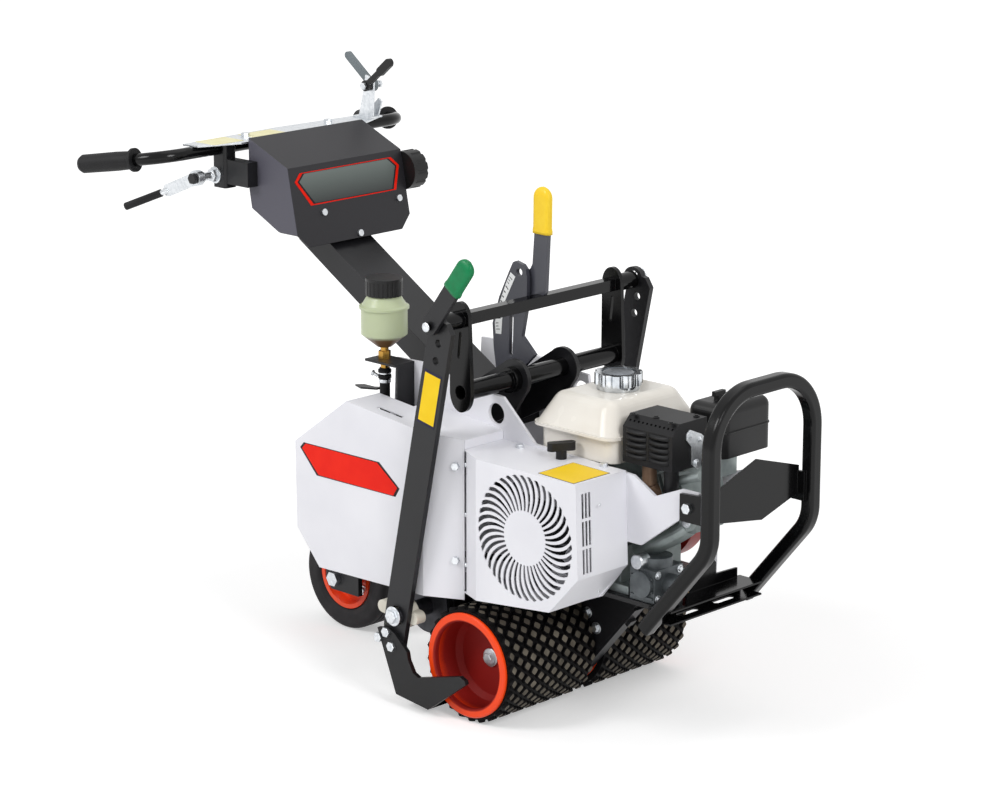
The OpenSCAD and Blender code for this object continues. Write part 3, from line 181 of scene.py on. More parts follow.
def bare_steel(name, dark, light, rough):
    """Hot-rolled steel: mottled mill scale with a dull sheen."""
    mat, tree, surface, place = new_material(name, Metallic=0.85)
    scale = add(tree, "ShaderNodeTexNoise", Vector=place, Scale=per_metre(24), Detail=8.0).outputs[0]
    # The grit is coarser than the real 0.2 mm so that it shows
    grit = add(tree, "ShaderNodeTexNoise", Vector=place, Scale=per_metre(1.4), Detail=2.0).outputs[0]
    dress(tree, surface, (scale, dark, light), (scale, rough, rough + 0.2), (grit, 0.05, 0.3))
    return mat


def cast_metal(name, dark, light, rough, metal):
    """Sand-cast metal: a grainy skin with slightly uneven colour."""
    mat, tree, surface, place = new_material(name, Metallic=metal)
    tone = add(tree, "ShaderNodeTexNoise", Vector=place, Scale=per_metre(40), Detail=5.0).outputs[0]
    # Moulding sand is about 0.4 mm, and its print is coarser here so that it shows
    grain = add(tree, "ShaderNodeTexNoise", Vector=place, Scale=per_metre(1.8), Detail=3.0).outputs[0]
    dress(tree, surface, (tone, dark, light), (grain, rough, rough + 0.15), (grain, 0.2, 0.5))
    return mat


def moulded_rubber(name, dark, light, rough, shine=0.25):
    """Moulded rubber: matt, with a fine grain and a bloom of dust."""
    mat, tree, surface, place = new_material(name, IOR=1.52, Specular_IOR_Level=shine)
    bloom = add(tree, "ShaderNodeTexNoise", Vector=place, Scale=per_metre(30), Detail=6.0).outputs[0]
    # The grain is coarser than the real 0.3 mm so that it shows
    grain = add(tree, "ShaderNodeTexNoise", Vector=place, Scale=per_metre(1.2), Detail=2.0).outputs[0]
    dress(tree, surface, (bloom, dark, light), (bloom, rough, rough + 0.15), (grain, 0.1, 0.4))
    return mat


def dipped_vinyl(name, dark, light):
    """Dipped vinyl grip: a thick glossy skin with soft waves from the dip."""
    mat, tree, surface, place = new_material(name, IOR=1.53, Specular_IOR_Level=0.25)
    wave = add(tree, "ShaderNodeTexNoise", Vector=place, Scale=per_metre(14), Detail=2.0).outputs[0]
    dress(tree, surface, (wave, dark, light), (wave, 0.28, 0.4), (wave, 0.4, 0.2))
    return mat


def moulded_plastic(name, dark, light, rough):
    """Injection-moulded plastic: an even colour with a fine spark-eroded texture."""
    mat, tree, surface, place = new_material(name, IOR=1.49, Specular_IOR_Level=0.35)
    tone = add(tree, "ShaderNodeTexNoise", Vector=place, Scale=per_metre(70), Detail=2.0).outputs[0]
    # Spark pits are about 0.1 mm, and these are coarser so that they show
    spark = add(tree, "ShaderNodeTexNoise", Vector=place, Scale=per_metre(0.9), Detail=1.0).outputs[0]
    dress(tree, surface, (tone, dark, light), (spark, rough, rough + 0.12), (spark, 0.04, 0.3))
    return mat


def gloss_enamel(name, dark, light, rough):
    """Stoved enamel on pressed steel: deep gloss with a slow wave in the reflections."""
    mat, tree, surface, place = new_material(name, IOR=1.52, Specular_IOR_Level=0.3, Coat_Weight=0.2,
                                             Coat_Roughness=0.08)
    wave = add(tree, "ShaderNodeTexNoise", Vector=place, Scale=per_metre(60), Detail=2.0).outputs[0]
    dress(tree, surface, (wave, dark, light), (wave, rough, rough + 0.08), (wave, 0.15, 0.15))
    return mat


def rim_enamel_with_painted_dish_shade(name):
    """Stoved enamel on a roller rim: a bright lip, and a deep red dish whose darker red is painted shade
    inside the recess.
    """
    mat, tree, surface, place = new_material(name, IOR=1.52, Specular_IOR_Level=0.3)
    wave = add(tree, "ShaderNodeTexNoise", Vector=place, Scale=per_metre(45), Detail=3.0).outputs[0]
    hub = (-AXLE_X / 1000, 0, -AXLE_Z / 1000)
    spoke = add(tree, "ShaderNodeMapping", Vector=place, Location=hub, Scale=(1, 0, 1)).outputs[0]
    radius = add(tree, "ShaderNodeVectorMath", {"operation": "LENGTH"}, i0=spoke).outputs["Value"]
    ragged = add(tree, "ShaderNodeMath", {"operation": "MULTIPLY_ADD"}, i0=wave, i1=0.002, i2=radius)
    lip = add(tree, "ShaderNodeMapRange", Value=ragged.outputs[0], From_Min=RIM_LIP[0] / 1000,
              From_Max=RIM_LIP[1] / 1000).outputs[0]
    # The deep red inside the lip is painted shade in the dish; the lip keeps the bright enamel colour
    dress(tree, surface, (lip, "#8E140E", "#F84608"), (lip, 0.6, 0.3), (wave, 0.15, 0.15), (0.05, 0.95))
    return mat


def shaded_film(name):
    """Printed film on the console: a dark panel that fades to grey-green towards its upper edge."""
    mat, tree, surface, place = new_material(name, IOR=1.48)
    height = add(tree, "ShaderNodeSeparateXYZ", Vector=place).outputs["Z"]
    fade = add(tree, "ShaderNodeMapRange", Value=height, From_Min=BADGE_FADE[0] / 1000,
               From_Max=BADGE_FADE[1] / 1000).outputs[0]
    grain = add(tree, "ShaderNodeTexNoise", Vector=place, Scale=per_metre(12), Detail=2.0).outputs[0]
    dress(tree, surface, (fade, "#1E2122", "#6C7672"), (grain, 0.28, 0.36), ends=(0.0, 1.0))
    return mat


def chrome_plate(name):
    """Chrome over pressed steel: mirror bright with faint handling haze."""
    mat, tree, surface, place = new_material(name, Metallic=1.0)
    haze = add(tree, "ShaderNodeTexNoise", Vector=place, Scale=per_metre(18), Detail=4.0).outputs[0]
    dress(tree, surface, (haze, "#B4B9BE", "#DADDE0"), (haze, 0.1, 0.22))
    return mat


def turned_brass(name):
    """Turned brass: warm metal with fine lathe rings."""
    mat, tree, surface, place = new_material(name, Metallic=1.0)
    # Real rings are about 0.2 mm apart, and these are coarser so that they show
    lathe = {"bands_direction": "Z"}
    rings = add(tree, "ShaderNodeTexWave", lathe, Vector=place, Scale=per_metre(6)).outputs[1]
    dress(tree, surface, (rings, "#9C7433", "#C79C4E"), (rings, 0.25, 0.35))
    return mat


def milky_polythene(name):
    """Blow-moulded polythene: milky and waxy, with the oil showing brown in the cone."""
    depth = (0.012, 0.012, 0.008)
    mat, tree, surface, place = new_material(name, IOR=1.5, Subsurface_Weight=0.35, Subsurface_Radius=depth,
                                             Transmission_Weight=0.2)
    tone = add(tree, "ShaderNodeTexNoise", Vector=place, Scale=per_metre(50), Detail=2.0).outputs[0]
    height = add(tree, "ShaderNodeSeparateXYZ", Vector=place).outputs["Z"]
    ragged = add(tree, "ShaderNodeMath", {"operation": "MULTIPLY_ADD"}, i0=tone, i1=0.006, i2=height)
    level = add(tree, "ShaderNodeMapRange", Value=ragged.outputs[0], From_Min=OIL_LEVEL[0] / 1000,
                From_Max=OIL_LEVEL[1] / 1000).outputs[0]
    dress(tree, surface, (level, "#7A5A3C", "#CDD7B2"), (tone, 0.32, 0.42), ends=(0.0, 0.8))
    return mat


def printed_film(name, dark, light):
    """Printed vinyl film: even colour with a satin face."""
    mat, tree, surface, place = new_material(name, IOR=1.48, Specular_IOR_Level=0.15)
    tone = add(tree, "ShaderNodeTexNoise", Vector=place, Scale=per_metre(30), Detail=2.0).outputs[0]
    dress(tree, surface, (tone, dark, light), (tone, 0.3, 0.4))
    return mat


WHITE = powder_coat("white_powder_coat", "#E4E4EA", "#ECECF1", 0.32)
BLACK = powder_coat("black_powder_coat", "#121214", "#1A1A1D", 0.34, 0.35)
TUBE_BLACK = powder_coat("black_tube_paint", "#050506", "#0A0A0B", 0.1, 0.22)
# The console's lighter grey sides are a painted reflection of bright light
CONSOLE_BLACK = coat_with_painted_side_sheen("console_coat_painted_side_sheen", "#222125", "#504F59", 0.4, 0.35)
ORANGE = gloss_enamel("orange_rim_enamel", "#EE3E0E", "#F64A16", 0.3)
# The dish of each rim is darkened by painted shade
DISHED = rim_enamel_with_painted_dish_shade("rim_enamel_painted_dish_shade")
ZINC = zinc_plate("zinc_plate", "#C9CDD1", "#DFE2E5", 0.25)
CAP_GREY = zinc_plate("satin_cap_plate", "#6A6E73", "#83878C", 0.3)
DARK_STEEL = bare_steel("oiled_steel", "#3A3A3E", "#55555A", 0.4)
SATIN_GREY = powder_coat("satin_grey_coat", "#3C3D45", "#484951", 0.3)
BLADE_STEEL = powder_coat("blade_black_coat", "#0A0A0B", "#121214", 0.36, 0.3)
ALLOY = cast_metal("cast_alloy", "#8A9392", "#A8B1B0", 0.38, 0.6)
HYDRO_IRON = cast_metal("hydro_casting", "#4A4F52", "#6E7477", 0.38, 0.4)
HOT_BLACK = powder_coat("muffler_coat", "#0C0C0E", "#141416", 0.42, 0.25)
CREAM_CAST = cast_metal("bearing_housing", "#D8D3C4", "#E6E2D6", 0.5, 0.0)
CHROME = chrome_plate("chrome_plate")
BRASS = turned_brass("turned_brass")
TREAD = moulded_rubber("tread_rubber", "#050405", "#0B090A", 0.5, 0.1)
KNOB_TOP = moulded_rubber("knob_tops", "#433D34", "#6E675B", 0.6)
TYRE = moulded_rubber("tyre_rubber", "#1B1A1C", "#2A282A", 0.6)
BELT = moulded_rubber("belt_rubber", "#121213", "#1D1D1F", 0.7)
GRIP = moulded_rubber("grip_rubber", "#0F0F10", "#18181A", 0.5)
YELLOW = dipped_vinyl("yellow_vinyl", "#F4CC2C", "#F8D334")
GREEN = dipped_vinyl("green_vinyl", "#007442", "#007E4A")
PLASTIC = moulded_plastic("black_plastic", "#0D0D0E", "#141415", 0.36)
RED_PLASTIC = moulded_plastic("red_plastic", "#A81A14", "#BE251B", 0.3)
LEVER_GREY = moulded_plastic("grey_lever_plastic", "#6C7478", "#7C8488", 0.45)
TANK = gloss_enamel("cream_tank_enamel", "#E2DDD4", "#EAE6DE", 0.22)
BOTTLE = milky_polythene("milky_polythene")
PANEL_RED = printed_film("red_film", "#EA1A04", "#F0220A")
LABEL_EDGE = printed_film("dark_blue_film", "#25243A", "#2D2C44")
PALE_FILM = printed_film("pale_film", "#E6DFA8", "#EFE9BC")
PIPE_BROWN = cast_metal("heat_browned_steel", "#80624E", "#A98A72", 0.45, 0.3)
PANEL_BLACK = printed_film("black_film", "#1C1B1D", "#262528")
PANEL_SHADED = shaded_film("shaded_film")
LABEL_YELLOW = printed_film("yellow_film", "#F4CC1E", "#F8D126")
SCALE_WHITE = printed_film("white_film", "#E2E4E4", "#F0F1F1")

FINISH = {
    WHITE: ["side_plate_right", "side_plate_left", "rear_cover", "fan_cover"],
    BLACK: ["engine_deck", "tail_fork", "column", "handle_clamps", "reservoir_bracket", "blade_arm_right",
            "blade_arm_left", "eccentric_housing", "chain_case", "scraper", "depth_lever", "quadrant",
            "lock_lever"],
    TUBE_BLACK: ["handlebar", "rocker_frame", "guard_hoop"],
    CONSOLE_BLACK: ["console"],
    ORANGE: ["tail_rim"],
    DISHED: ["rim_right", "rim_left"],
    ZINC: ["top_plate", "frame_bolts", "drive_lever", "lever_bracket", "blade_bolts", "drive_axle"],
    DARK_STEEL: ["eccentric_shaft", "crank_pulley", "jackshaft"],
    LEVER_GREY: ["clutch_lever"],
    BLADE_STEEL: ["sod_blade"],
    ALLOY: ["engine_block"],
    HYDRO_IRON: ["hydro_unit"],
    HOT_BLACK: ["muffler"],
    CREAM_CAST: ["arm_bearings"],
    CHROME: ["fuel_cap"],
    BRASS: ["reservoir_fitting"],
    TREAD: ["tread_right", "tread_left"],
    TYRE: ["tail_tyre"],
    BELT: ["drive_belts", "reservoir_hose"],
    GRIP: ["grip_right", "grip_left", "lever_sleeve"],
    YELLOW: ["depth_grip"],
    GREEN: ["lock_grip"],
    PLASTIC: ["console_knob", "throttle_lever", "cover_knob", "reservoir_cap", "air_cleaner",
              "starter_grip"],
    RED_PLASTIC: ["recoil_housing"],
    TANK: ["fuel_tank"],
    BOTTLE: ["reservoir_bottle"],
}
for finish, names in FINISH.items():
    for name in names:
        nodes[name].data.materials.clear()
        nodes[name].data.materials.append(finish)


# Making pieces

def finish_piece(name, bm, materials, body):
    """Turns a bmesh in the row frame into a piece on a body, or on none when no body is given."""
    mesh = bpy.data.meshes.new(name)
    bm.normal_update()
    bm.to_mesh(mesh)
    bm.free()
    for mat in materials:
        mesh.materials.append(mat)
    piece = bpy.data.objects.new(name, mesh)
    scene.collection.objects.link(piece)
    if body:
        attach(piece, body)
    return piece


def skin(bm, rings):
    """Closes the band between each ring of points and the next, and gives the faces."""
    faces = []
    for low, high in zip(rings, rings[1:]):
        for i in range(len(low)):
            j = (i + 1) % len(low)
            faces.append(bm.faces.new((low[i], low[j], high[j], high[i])))
    return faces


def slab(bm, corners, normal, thick_mm, mat=0):
    """Adds a flat slab on a face, from its corner points and the face's outward normal."""
    lift = Vector(normal).normalized() * thick_mm / 1000
    base = [bm.verts.new(p) for p in corners]
    top = [bm.verts.new(p + lift) for p in corners]
    faces = [bm.faces.new(top), bm.faces.new(list(reversed(base))), *skin(bm, (base, top))]
    for face in faces:
        face.material_index = mat
    bmesh.ops.recalc_face_normals(bm, faces=faces)


def film(name, corners, normal, thick_mm, mat, body):
    """A thin film on a flat face."""
    bm = bmesh.new()
    slab(bm, corners, normal, thick_mm)
    finish_piece(name, bm, [mat], body)


def turned(bm, foot, axis, profile, sides, mat=0):
    """Adds a turned solid from (radius, height) pairs in millimetres along an axis."""
    turn = Vector(axis).to_track_quat("Z", "Y").to_matrix()
    spokes = [2 * math.pi * i / sides for i in range(sides)]
    rings = []
    for r, h in profile:
        ring = [turn @ Vector((r * math.cos(a), r * math.sin(a), h)) / 1000 for a in spokes]
        rings.append([bm.verts.new(foot + p) for p in ring])
    for face in [*skin(bm, rings), bm.faces.new(rings[-1]), bm.faces.new(list(reversed(rings[0])))]:
        face.material_index = mat


def bolt(bm, foot, axis, r, mat=0):
    """A hexagon head with a washer under it."""
    turned(bm, foot, axis, ((1.5 * r, 0), (1.5 * r, 1.4), (1.4 * r, 1.7)), 24, mat)
    turned(bm, foot, axis, ((r, 1.5), (r, 1.5 + 0.5 * r), (0.86 * r, 1.5 + 0.62 * r)), 6, mat)


def dome(bm, foot, axis, r):
    """A low round rivet head."""
    turned(bm, foot, axis, ((r, 0), (0.96 * r, 0.22 * r), (0.75 * r, 0.45 * r), (0.4 * r, 0.58 * r)), 20)


def rod(bm, points, r, sides):
    """A round rod or hose through a row of points, with closed ends."""
    spokes = [2 * math.pi * k / sides for k in range(sides)]
    rings = []
    for i, p in enumerate(points):
        ahead = (points[min(i + 1, len(points) - 1)] - points[max(i - 1, 0)]).normalized()
        side = ahead.cross(Vector(UP) if abs(ahead.z) < 0.9 else Vector(LEFT)).normalized()
        over = side.cross(ahead)
        ring = [(side * math.cos(a) + over * math.sin(a)) * r / 1000 for a in spokes]
        rings.append([bm.verts.new(p + spoke) for spoke in ring])
    faces = [bm.faces.new(rings[0]), bm.faces.new(list(reversed(rings[-1]))), *skin(bm, rings)]
    bmesh.ops.recalc_face_normals(bm, faces=faces)


def rectangle(x0, x1, y0, y1):
    """The four corners of a rectangle."""
    return ((x0, y0), (x1, y0), (x1, y1), (x0, y1))


def circle(x, z, r, count=28):
    """Points of a circle in X and Z millimetres."""
    turns = [2 * math.pi * i / count for i in range(count)]
    return [(x + r * math.cos(a), z + r * math.sin(a)) for a in turns]


END_POINTS = 9


def slot_outline(a, b, r):
    """Points of a round-ended slot between two points in X and Z millimetres."""
    lean = math.atan2(b[1] - a[1], b[0] - a[0])
    out = []
    for (x, z), start in ((b, lean - math.pi / 2), (a, lean + math.pi / 2)):
        for i in range(END_POINTS):
            turn = start + math.pi * i / (END_POINTS - 1)
            out.append((x + r * math.cos(turn), z + r * math.sin(turn)))
    return out


def cut_plate(bm, outline, holes, y0, y1):
    """Adds a flat plate across Y from its outline and its holes in X and Z millimetres."""
    loops = [[Vector((x, z, 0)) for x, z in loop] for loop in (outline, *holes)]
    corners = [p for loop in loops for p in loop]
    sides = [[bm.verts.new(at(p.x, y, p.y)) for p in corners] for y in (y0, y1)]
    faces = [bm.faces.new([side[i] for i in tri]) for tri in tessellate_polygon(loops) for side in sides]
    first = 0
    for loop in loops:
        faces += skin(bm, [side[first:first + len(loop)] for side in sides])
        first += len(loop)
    bmesh.ops.recalc_face_normals(bm, faces=faces)


GRIP_STATIONS = 22
GRIP_SIDES = 32
GRIP_BEAD = 1.06
GRIP_THIN = 0.35
GRIP_TIP = 0.02


def dipped_grip(name, root, tip, across, half_w, half_t, mat, body):
    """A dipped sleeve from its open root to its rounded tip, flat across Y, in X and Z millimetres."""
    bm = bmesh.new()
    along = Vector(tip) - Vector(root)
    length = along.length
    along.normalize()
    side = Vector((along.y, -along.x))
    rings = []
    for k in range(GRIP_STATIONS + 1):
        t = length * math.sin(0.5 * math.pi * k / GRIP_STATIONS)
        over = max(0.0, t - (length - half_w)) / half_w
        swell = math.sqrt(max(0.0, 1 - over * over)) * (GRIP_BEAD if k < 2 else 1.0)
        thick = max(swell, GRIP_THIN if k < GRIP_STATIONS else GRIP_TIP)
        ring = []
        for i in range(GRIP_SIDES):
            c = math.cos(2 * math.pi * i / GRIP_SIDES)
            d = math.sin(2 * math.pi * i / GRIP_SIDES)
            w = half_w * swell * math.copysign(abs(c) ** 0.5, c)
            h = half_t * thick * math.copysign(abs(d) ** 0.7, d)
            p = Vector(root) + along * t + side * w
            ring.append(bm.verts.new(at(p.x, across + h, p.y)))
        rings.append(ring)
    for face in skin(bm, rings):
        face.smooth = True
    bm.faces.new(rings[0])
    bm.faces.new(rings[-1])
    bmesh.ops.recalc_face_normals(bm, faces=bm.faces)
    return finish_piece(name, bm, [mat], body)


CURVE_STEPS = 8


def eased(points):
    """A smooth curve through a few points."""
    out = []
    for i in range(len(points) - 1):
        a, b = points[max(i - 1, 0)], points[i]
        c, d = points[i + 1], points[min(i + 2, len(points) - 1)]
        for k in range(CURVE_STEPS):
            t = k / CURVE_STEPS
            out.append(0.5 * (2 * b + (c - a) * t + (2 * a - 5 * b + 4 * c - d) * t * t
                              + (3 * b - a - 3 * c + d) * t ** 3))
    return out + [points[-1]]


CORNER_REACH = 1.3


def shrink(points, mm):
    """A flat outline moved inwards by a few millimetres towards its middle."""
    middle = sum(points, Vector()) / len(points)
    return [p + (middle - p).normalized() * CORNER_REACH * mm / 1000 for p in points]


# Knobbed rubber sleeves of the drive rollers

KNOBS_ROUND = 26
KNOB_ROWS = 13
KNOB_SHAPE = ((-1, 0), (-0.55, 0.6), (0, 1), (0.55, 0.6), (1, 0), (0.55, -0.6), (0, -1), (-0.55, -0.6))
KNOB_STEPS = ((1.0, TREAD_R - 0.4), (0.88, KNOB_R - 1.1), (0.72, KNOB_R - 0.15))
KNOB_ARC = 0.4
KNOB_LENGTH = 0.62
KNOB_MARGIN = 0.4
SLEEVE_BORE = 84.0
SLEEVE_END = ROLLER_OUT - 6.0
SLEEVE_SIDES = 136


def knobbed_sleeve(name, side):
    """A rubber sleeve with staggered lozenge knobs, each with a worn flat top."""
    bm = bmesh.new()
    width = SLEEVE_END - ROLLER_IN

    def spot(angle, along, r):
        """A point of the sleeve from its angle, its way along the axle and its radius."""
        return at(r * math.sin(angle), side * (ROLLER_IN + along), AXLE_Z - r * math.cos(angle))

    turns = [2 * math.pi * i / SLEEVE_SIDES for i in range(SLEEVE_SIDES)]
    inner = [[bm.verts.new(spot(a, w, SLEEVE_BORE)) for a in turns] for w in (0, width)]
    outer = [[bm.verts.new(spot(a, w, TREAD_R)) for a in turns] for w in (0, width)]
    for band in (outer, inner, (inner[0], outer[0]), (inner[1], outer[1])):
        skin(bm, band)
    step = width / KNOB_ROWS
    turn = 2 * math.pi / KNOBS_ROUND
    reach_a = KNOB_ARC * turn
    for row in range(KNOB_ROWS):
        along = (row + 0.5) * step
        reach_w = min(KNOB_LENGTH * step, along - KNOB_MARGIN, width - along - KNOB_MARGIN)
        for k in range(KNOBS_ROUND):
            angle = (k + 0.5 * (row % 2)) * turn
            loops = []
            for share, r in KNOB_STEPS:
                loops.append([bm.verts.new(spot(angle + a * reach_a * share, along + w * reach_w * share, r))
                              for a, w in KNOB_SHAPE])
            skin(bm, loops)
            bm.faces.new(loops[0])
            bm.faces.new(loops[-1]).material_index = 1
    bmesh.ops.recalc_face_normals(bm, faces=bm.faces)
    return finish_piece(name, bm, [TREAD, KNOB_TOP], "rollers")


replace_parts(knobbed_sleeve("sleeve_right", -1), "tread_right")
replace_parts(knobbed_sleeve("sleeve_left", 1), "tread_left")


# Axle with small hub bolts deep in the dishes

WEB_OUT = 168.0
AXLE_R = 14.0
bm = bmesh.new()
turned(bm, at(0, -WEB_OUT, AXLE_Z), LEFT, ((AXLE_R, 0), (AXLE_R, 2 * WEB_OUT)), 40)
for side in (-1, 1):
    hub = at(0, side * WEB_OUT, AXLE_Z)
    turned(bm, hub, (0, side, 0), ((16, 0), (16, 2), (15, 2.6)), 32)
    turned(bm, hub, (0, side, 0), ((10, 2.4), (10, 9), (8.5, 10.2)), 6)
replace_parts(finish_piece("hub_axle", bm, [ZINC], "rollers"), "drive_axle")


# Fan cover with its swirl slots and vents at their full width

CRANK = (134.0, 351.0)
GRILLE_R = 104.0
DISC_R = 43.0
GRILLE_SLOTS = 40
SLOT_IN = DISC_R + 3.0
SLOT_OUT = GRILLE_R + 1.0
SLOT_STEPS = 10
SLOT_ROOT = 1.6
SLOT_SPREAD = 2.7
SLOT_END = 2.7
SLOT_BEND = 18.0
SLOT_LEAN = 6.0
COVER_FRONT = 252.0
SLOT_CUT = (COVER_Y - 3.0, COVER_Y + 5.0)
VENT_CUT = (COVER_FRONT - 8.0, COVER_FRONT + 12.0)
VENT_EDGE = COVER_Y + 13.0
VENT_FOOT = COVER_TOP - 59.0
VENT_H = 41.0
VENT_RISE = 46.0
VENT_W = 5.0
VENT_STEP = 8.0


def swirl_slot(turn):
    """One slot of the grille, narrow at the disc, wide and round at the rim."""
    left, right = [], []
    for i in range(SLOT_STEPS + 1):
        r = SLOT_IN + (SLOT_OUT - SLOT_IN) * i / SLOT_STEPS
        k = (r - DISC_R) / (GRILLE_R - DISC_R)
        half = SLOT_ROOT + SLOT_SPREAD * min(k, 1.0) if i < SLOT_STEPS else SLOT_END
        a = turn + math.radians(SLOT_BEND * k * k - SLOT_LEAN * k)
        for edge, w in ((left, half), (right, -half)):
            x = CRANK[0] + r * math.cos(a) - w * math.sin(a)
            edge.append((x, CRANK[1] + r * math.sin(a) + w * math.cos(a)))
    return left + right[::-1]


def opened_cover():
    """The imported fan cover, cut again with wider slots and vents."""
    bm = bmesh.new()
    for i in range(GRILLE_SLOTS):
        cut_plate(bm, swirl_slot(2 * math.pi * i / GRILLE_SLOTS), [], *SLOT_CUT)
    for column in range(3):
        y0 = VENT_EDGE + VENT_STEP * column
        for row in range(3):
            z0 = VENT_FOOT - VENT_RISE * row
            cut_plate(bm, rectangle(*VENT_CUT, z0, z0 + VENT_H), [], y0, y0 + VENT_W)
    knife_mesh = bpy.data.meshes.new("cover_knife")
    bm.to_mesh(knife_mesh)
    bm.free()
    knife = bpy.data.objects.new("cover_knife", knife_mesh)
    blank_mesh = nodes["fan_cover"].data.copy()
    bm = bmesh.new()
    bm.from_mesh(blank_mesh)
    bmesh.ops.remove_doubles(bm, verts=bm.verts, dist=1e-5)
    bm.to_mesh(blank_mesh)
    bm.free()
    blank = bpy.data.objects.new("cover_blank", blank_mesh)
    for piece in (knife, blank):
        scene.collection.objects.link(piece)
    cut = blank.modifiers.new("cut", "BOOLEAN")
    cut.operation = "DIFFERENCE"
    cut.solver = "EXACT"
    cut.object = knife
    done = bpy.data.meshes.new_from_object(blank.evaluated_get(bpy.context.evaluated_depsgraph_get()))
    bm = bmesh.new()
    bm.from_mesh(done)
    for piece in (knife, blank):
        bpy.data.objects.remove(piece)
    for face in bm.faces:
        face.material_index = 0
    return finish_piece("opened_cover", bm, [WHITE], "chassis")


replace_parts(opened_cover(), "fan_cover")


# Rocker frame with slim end plates close inside the blade arms

TUBE = (-48.0, 555.0)
PIN = (-51.0, 678.0)
PLATE_IN = 162.0
PLATE_OUT = 170.0
PLATE_SHIFT = 20.0
PLATE_SLIM = 0.72
TUBE_KEEP = 20.0
PIN_KEEP = 17.0


def slim_rocker():
    """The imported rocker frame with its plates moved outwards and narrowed."""
    bm = bmesh.new()
    bm.from_mesh(nodes["rocker_frame"].data)
    for vert in bm.verts:
        x = vert.co.x * 1000 - AXLE_X
        y = vert.co.y * 1000
        z = vert.co.z * 1000
        if PLATE_IN - 0.1 < abs(y) < PLATE_OUT + 0.1:
            off_tube = math.hypot(x - TUBE[0], z - TUBE[1]) > TUBE_KEEP
            off_pin = math.hypot(x - PIN[0], z - PIN[1]) > PIN_KEEP
            middle = 0.5 * (TUBE[0] + PIN[0])
            new_x = middle + PLATE_SLIM * (x - middle) if off_tube and off_pin else x
            vert.co = at(new_x, math.copysign(abs(y) + PLATE_SHIFT, y), z)
    return finish_piece("slim_rocker", bm, [TUBE_BLACK], "rocker")


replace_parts(slim_rocker(), "rocker_frame")


# Depth lever, its scale plate and the two dipped grips

LEVER_OUTLINE = ((-96, 684), (-60, 680), (-46, 684), (-41, 694), (-36, 789), (-36, 852), (-66, 852),
                 (-67, 788), (-71, 738), (-76, 729), (-86, 724))
LEVER_Y = (6, 14)
bm = bmesh.new()
cut_plate(bm, LEVER_OUTLINE, [], *LEVER_Y)
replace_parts(finish_piece("depth_plate", bm, [SATIN_GREY], "rocker"), "depth_lever")
depth_sleeve = dipped_grip("depth_sleeve", (-51.5, 792), (-50.5, 872), across=10, half_w=18.5, half_t=8,
                           mat=YELLOW, body="rocker")
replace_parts(depth_sleeve, "depth_grip")

LOCK_LEAN = math.radians(37)
LOCK_REACH = (84, 150)
lock_way = Vector((math.sin(LOCK_LEAN), math.cos(LOCK_LEAN)))
lock_root = Vector(PIN) + LOCK_REACH[0] * lock_way
lock_tip = Vector(PIN) + LOCK_REACH[1] * lock_way
lock_sleeve = dipped_grip("lock_sleeve", lock_root, lock_tip, across=-256, half_w=17.5, half_t=8,
                          mat=GREEN, body="lock")
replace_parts(lock_sleeve, "lock_grip")

QUADRANT_Y = -4.0
SCALE_OUTLINE = ((-144, 510), (-144, 532), (-152, 581), (-155, 624), (-139, 673), (-117, 718), (-107, 737),
                 (-101, 740), (-84, 736), (-77, 729), (-74, 716), (-74, 690), (-77, 655), (-86, 612),
                 (-56, 584), (-74, 566), (-92, 550), (-110, 510))
scale_holes = [circle(-92, 722, 7), slot_outline((-112, 577), (-110, 640), 4.5)]
bm = bmesh.new()
cut_plate(bm, SCALE_OUTLINE, scale_holes, QUADRANT_Y, -QUADRANT_Y)
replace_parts(finish_piece("scale_plate", bm, [SATIN_GREY], "chassis"), "quadrant")


# Plain panels where printed films sit

PANEL_CORNERS = ((-400, 402), (-391, 412), (-204, 413), (-155, 376), (-165, 360), (-359, 359))
rear_panel = [at(x, COVER_Y, z) for x, z in PANEL_CORNERS]
film("rear_panel_edge", rear_panel, RIGHT, 0.4, PANEL_BLACK, "chassis")
film("rear_panel", shrink(rear_panel, 4.0), RIGHT, 0.7, PANEL_RED, "chassis")

CONSOLE_FOOT = (-494.0, 722.0)
CONSOLE_RUN = 28.0
CONSOLE_RISE = 139.0
console_normal = Vector((CONSOLE_RISE, 0, CONSOLE_RUN)).normalized()


def console_face(y, z):
    """A point on the console's sloping front face."""
    return at(CONSOLE_FOOT[0] - CONSOLE_RUN * (z - CONSOLE_FOOT[1]) / CONSOLE_RISE, y, z)


BADGE_CORNERS = ((-125, 836), (-111, 850), (110, 850), (127, 834), (112, 792), (-95, 792))
badge = [console_face(y, z) for y, z in BADGE_CORNERS]
film("badge_edge", badge, console_normal, 0.5, PANEL_RED, "chassis")
film("badge_ring", shrink(badge, 5.0), console_normal, 0.8, PANEL_BLACK, "chassis")
film("badge_panel", shrink(badge, 8.0), console_normal, 1.0, PANEL_SHADED, "chassis")

top_label = [at(x, y, COVER_TOP) for x, y in ((155, -219), (153, -133), (239, -138), (239, -225))]
film("cover_label_edge", top_label, UP, 0.3, LABEL_EDGE, "chassis")
film("cover_label", shrink(top_label, 1.5), UP, 0.5, LABEL_YELLOW, "chassis")

PLATE_TOP = 896.0
for tag, y0, y1 in (("near", -200, -132), ("far", -100, -24)):
    label = [at(x, y, PLATE_TOP) for x, y in rectangle(-692, -640, y0, y1)]
    film(f"plate_label_{tag}", label, UP, 0.4, PALE_FILM, "chassis")

SEAM_X = -30.0
strip = [at(SEAM_X, y, z) for y, z in rectangle(-199.5, -108.5, 463.2, 478.5)]
film("seam_strip", strip, FRONT, 1.5, WHITE, "chassis")

ARM_FACE = 248.0


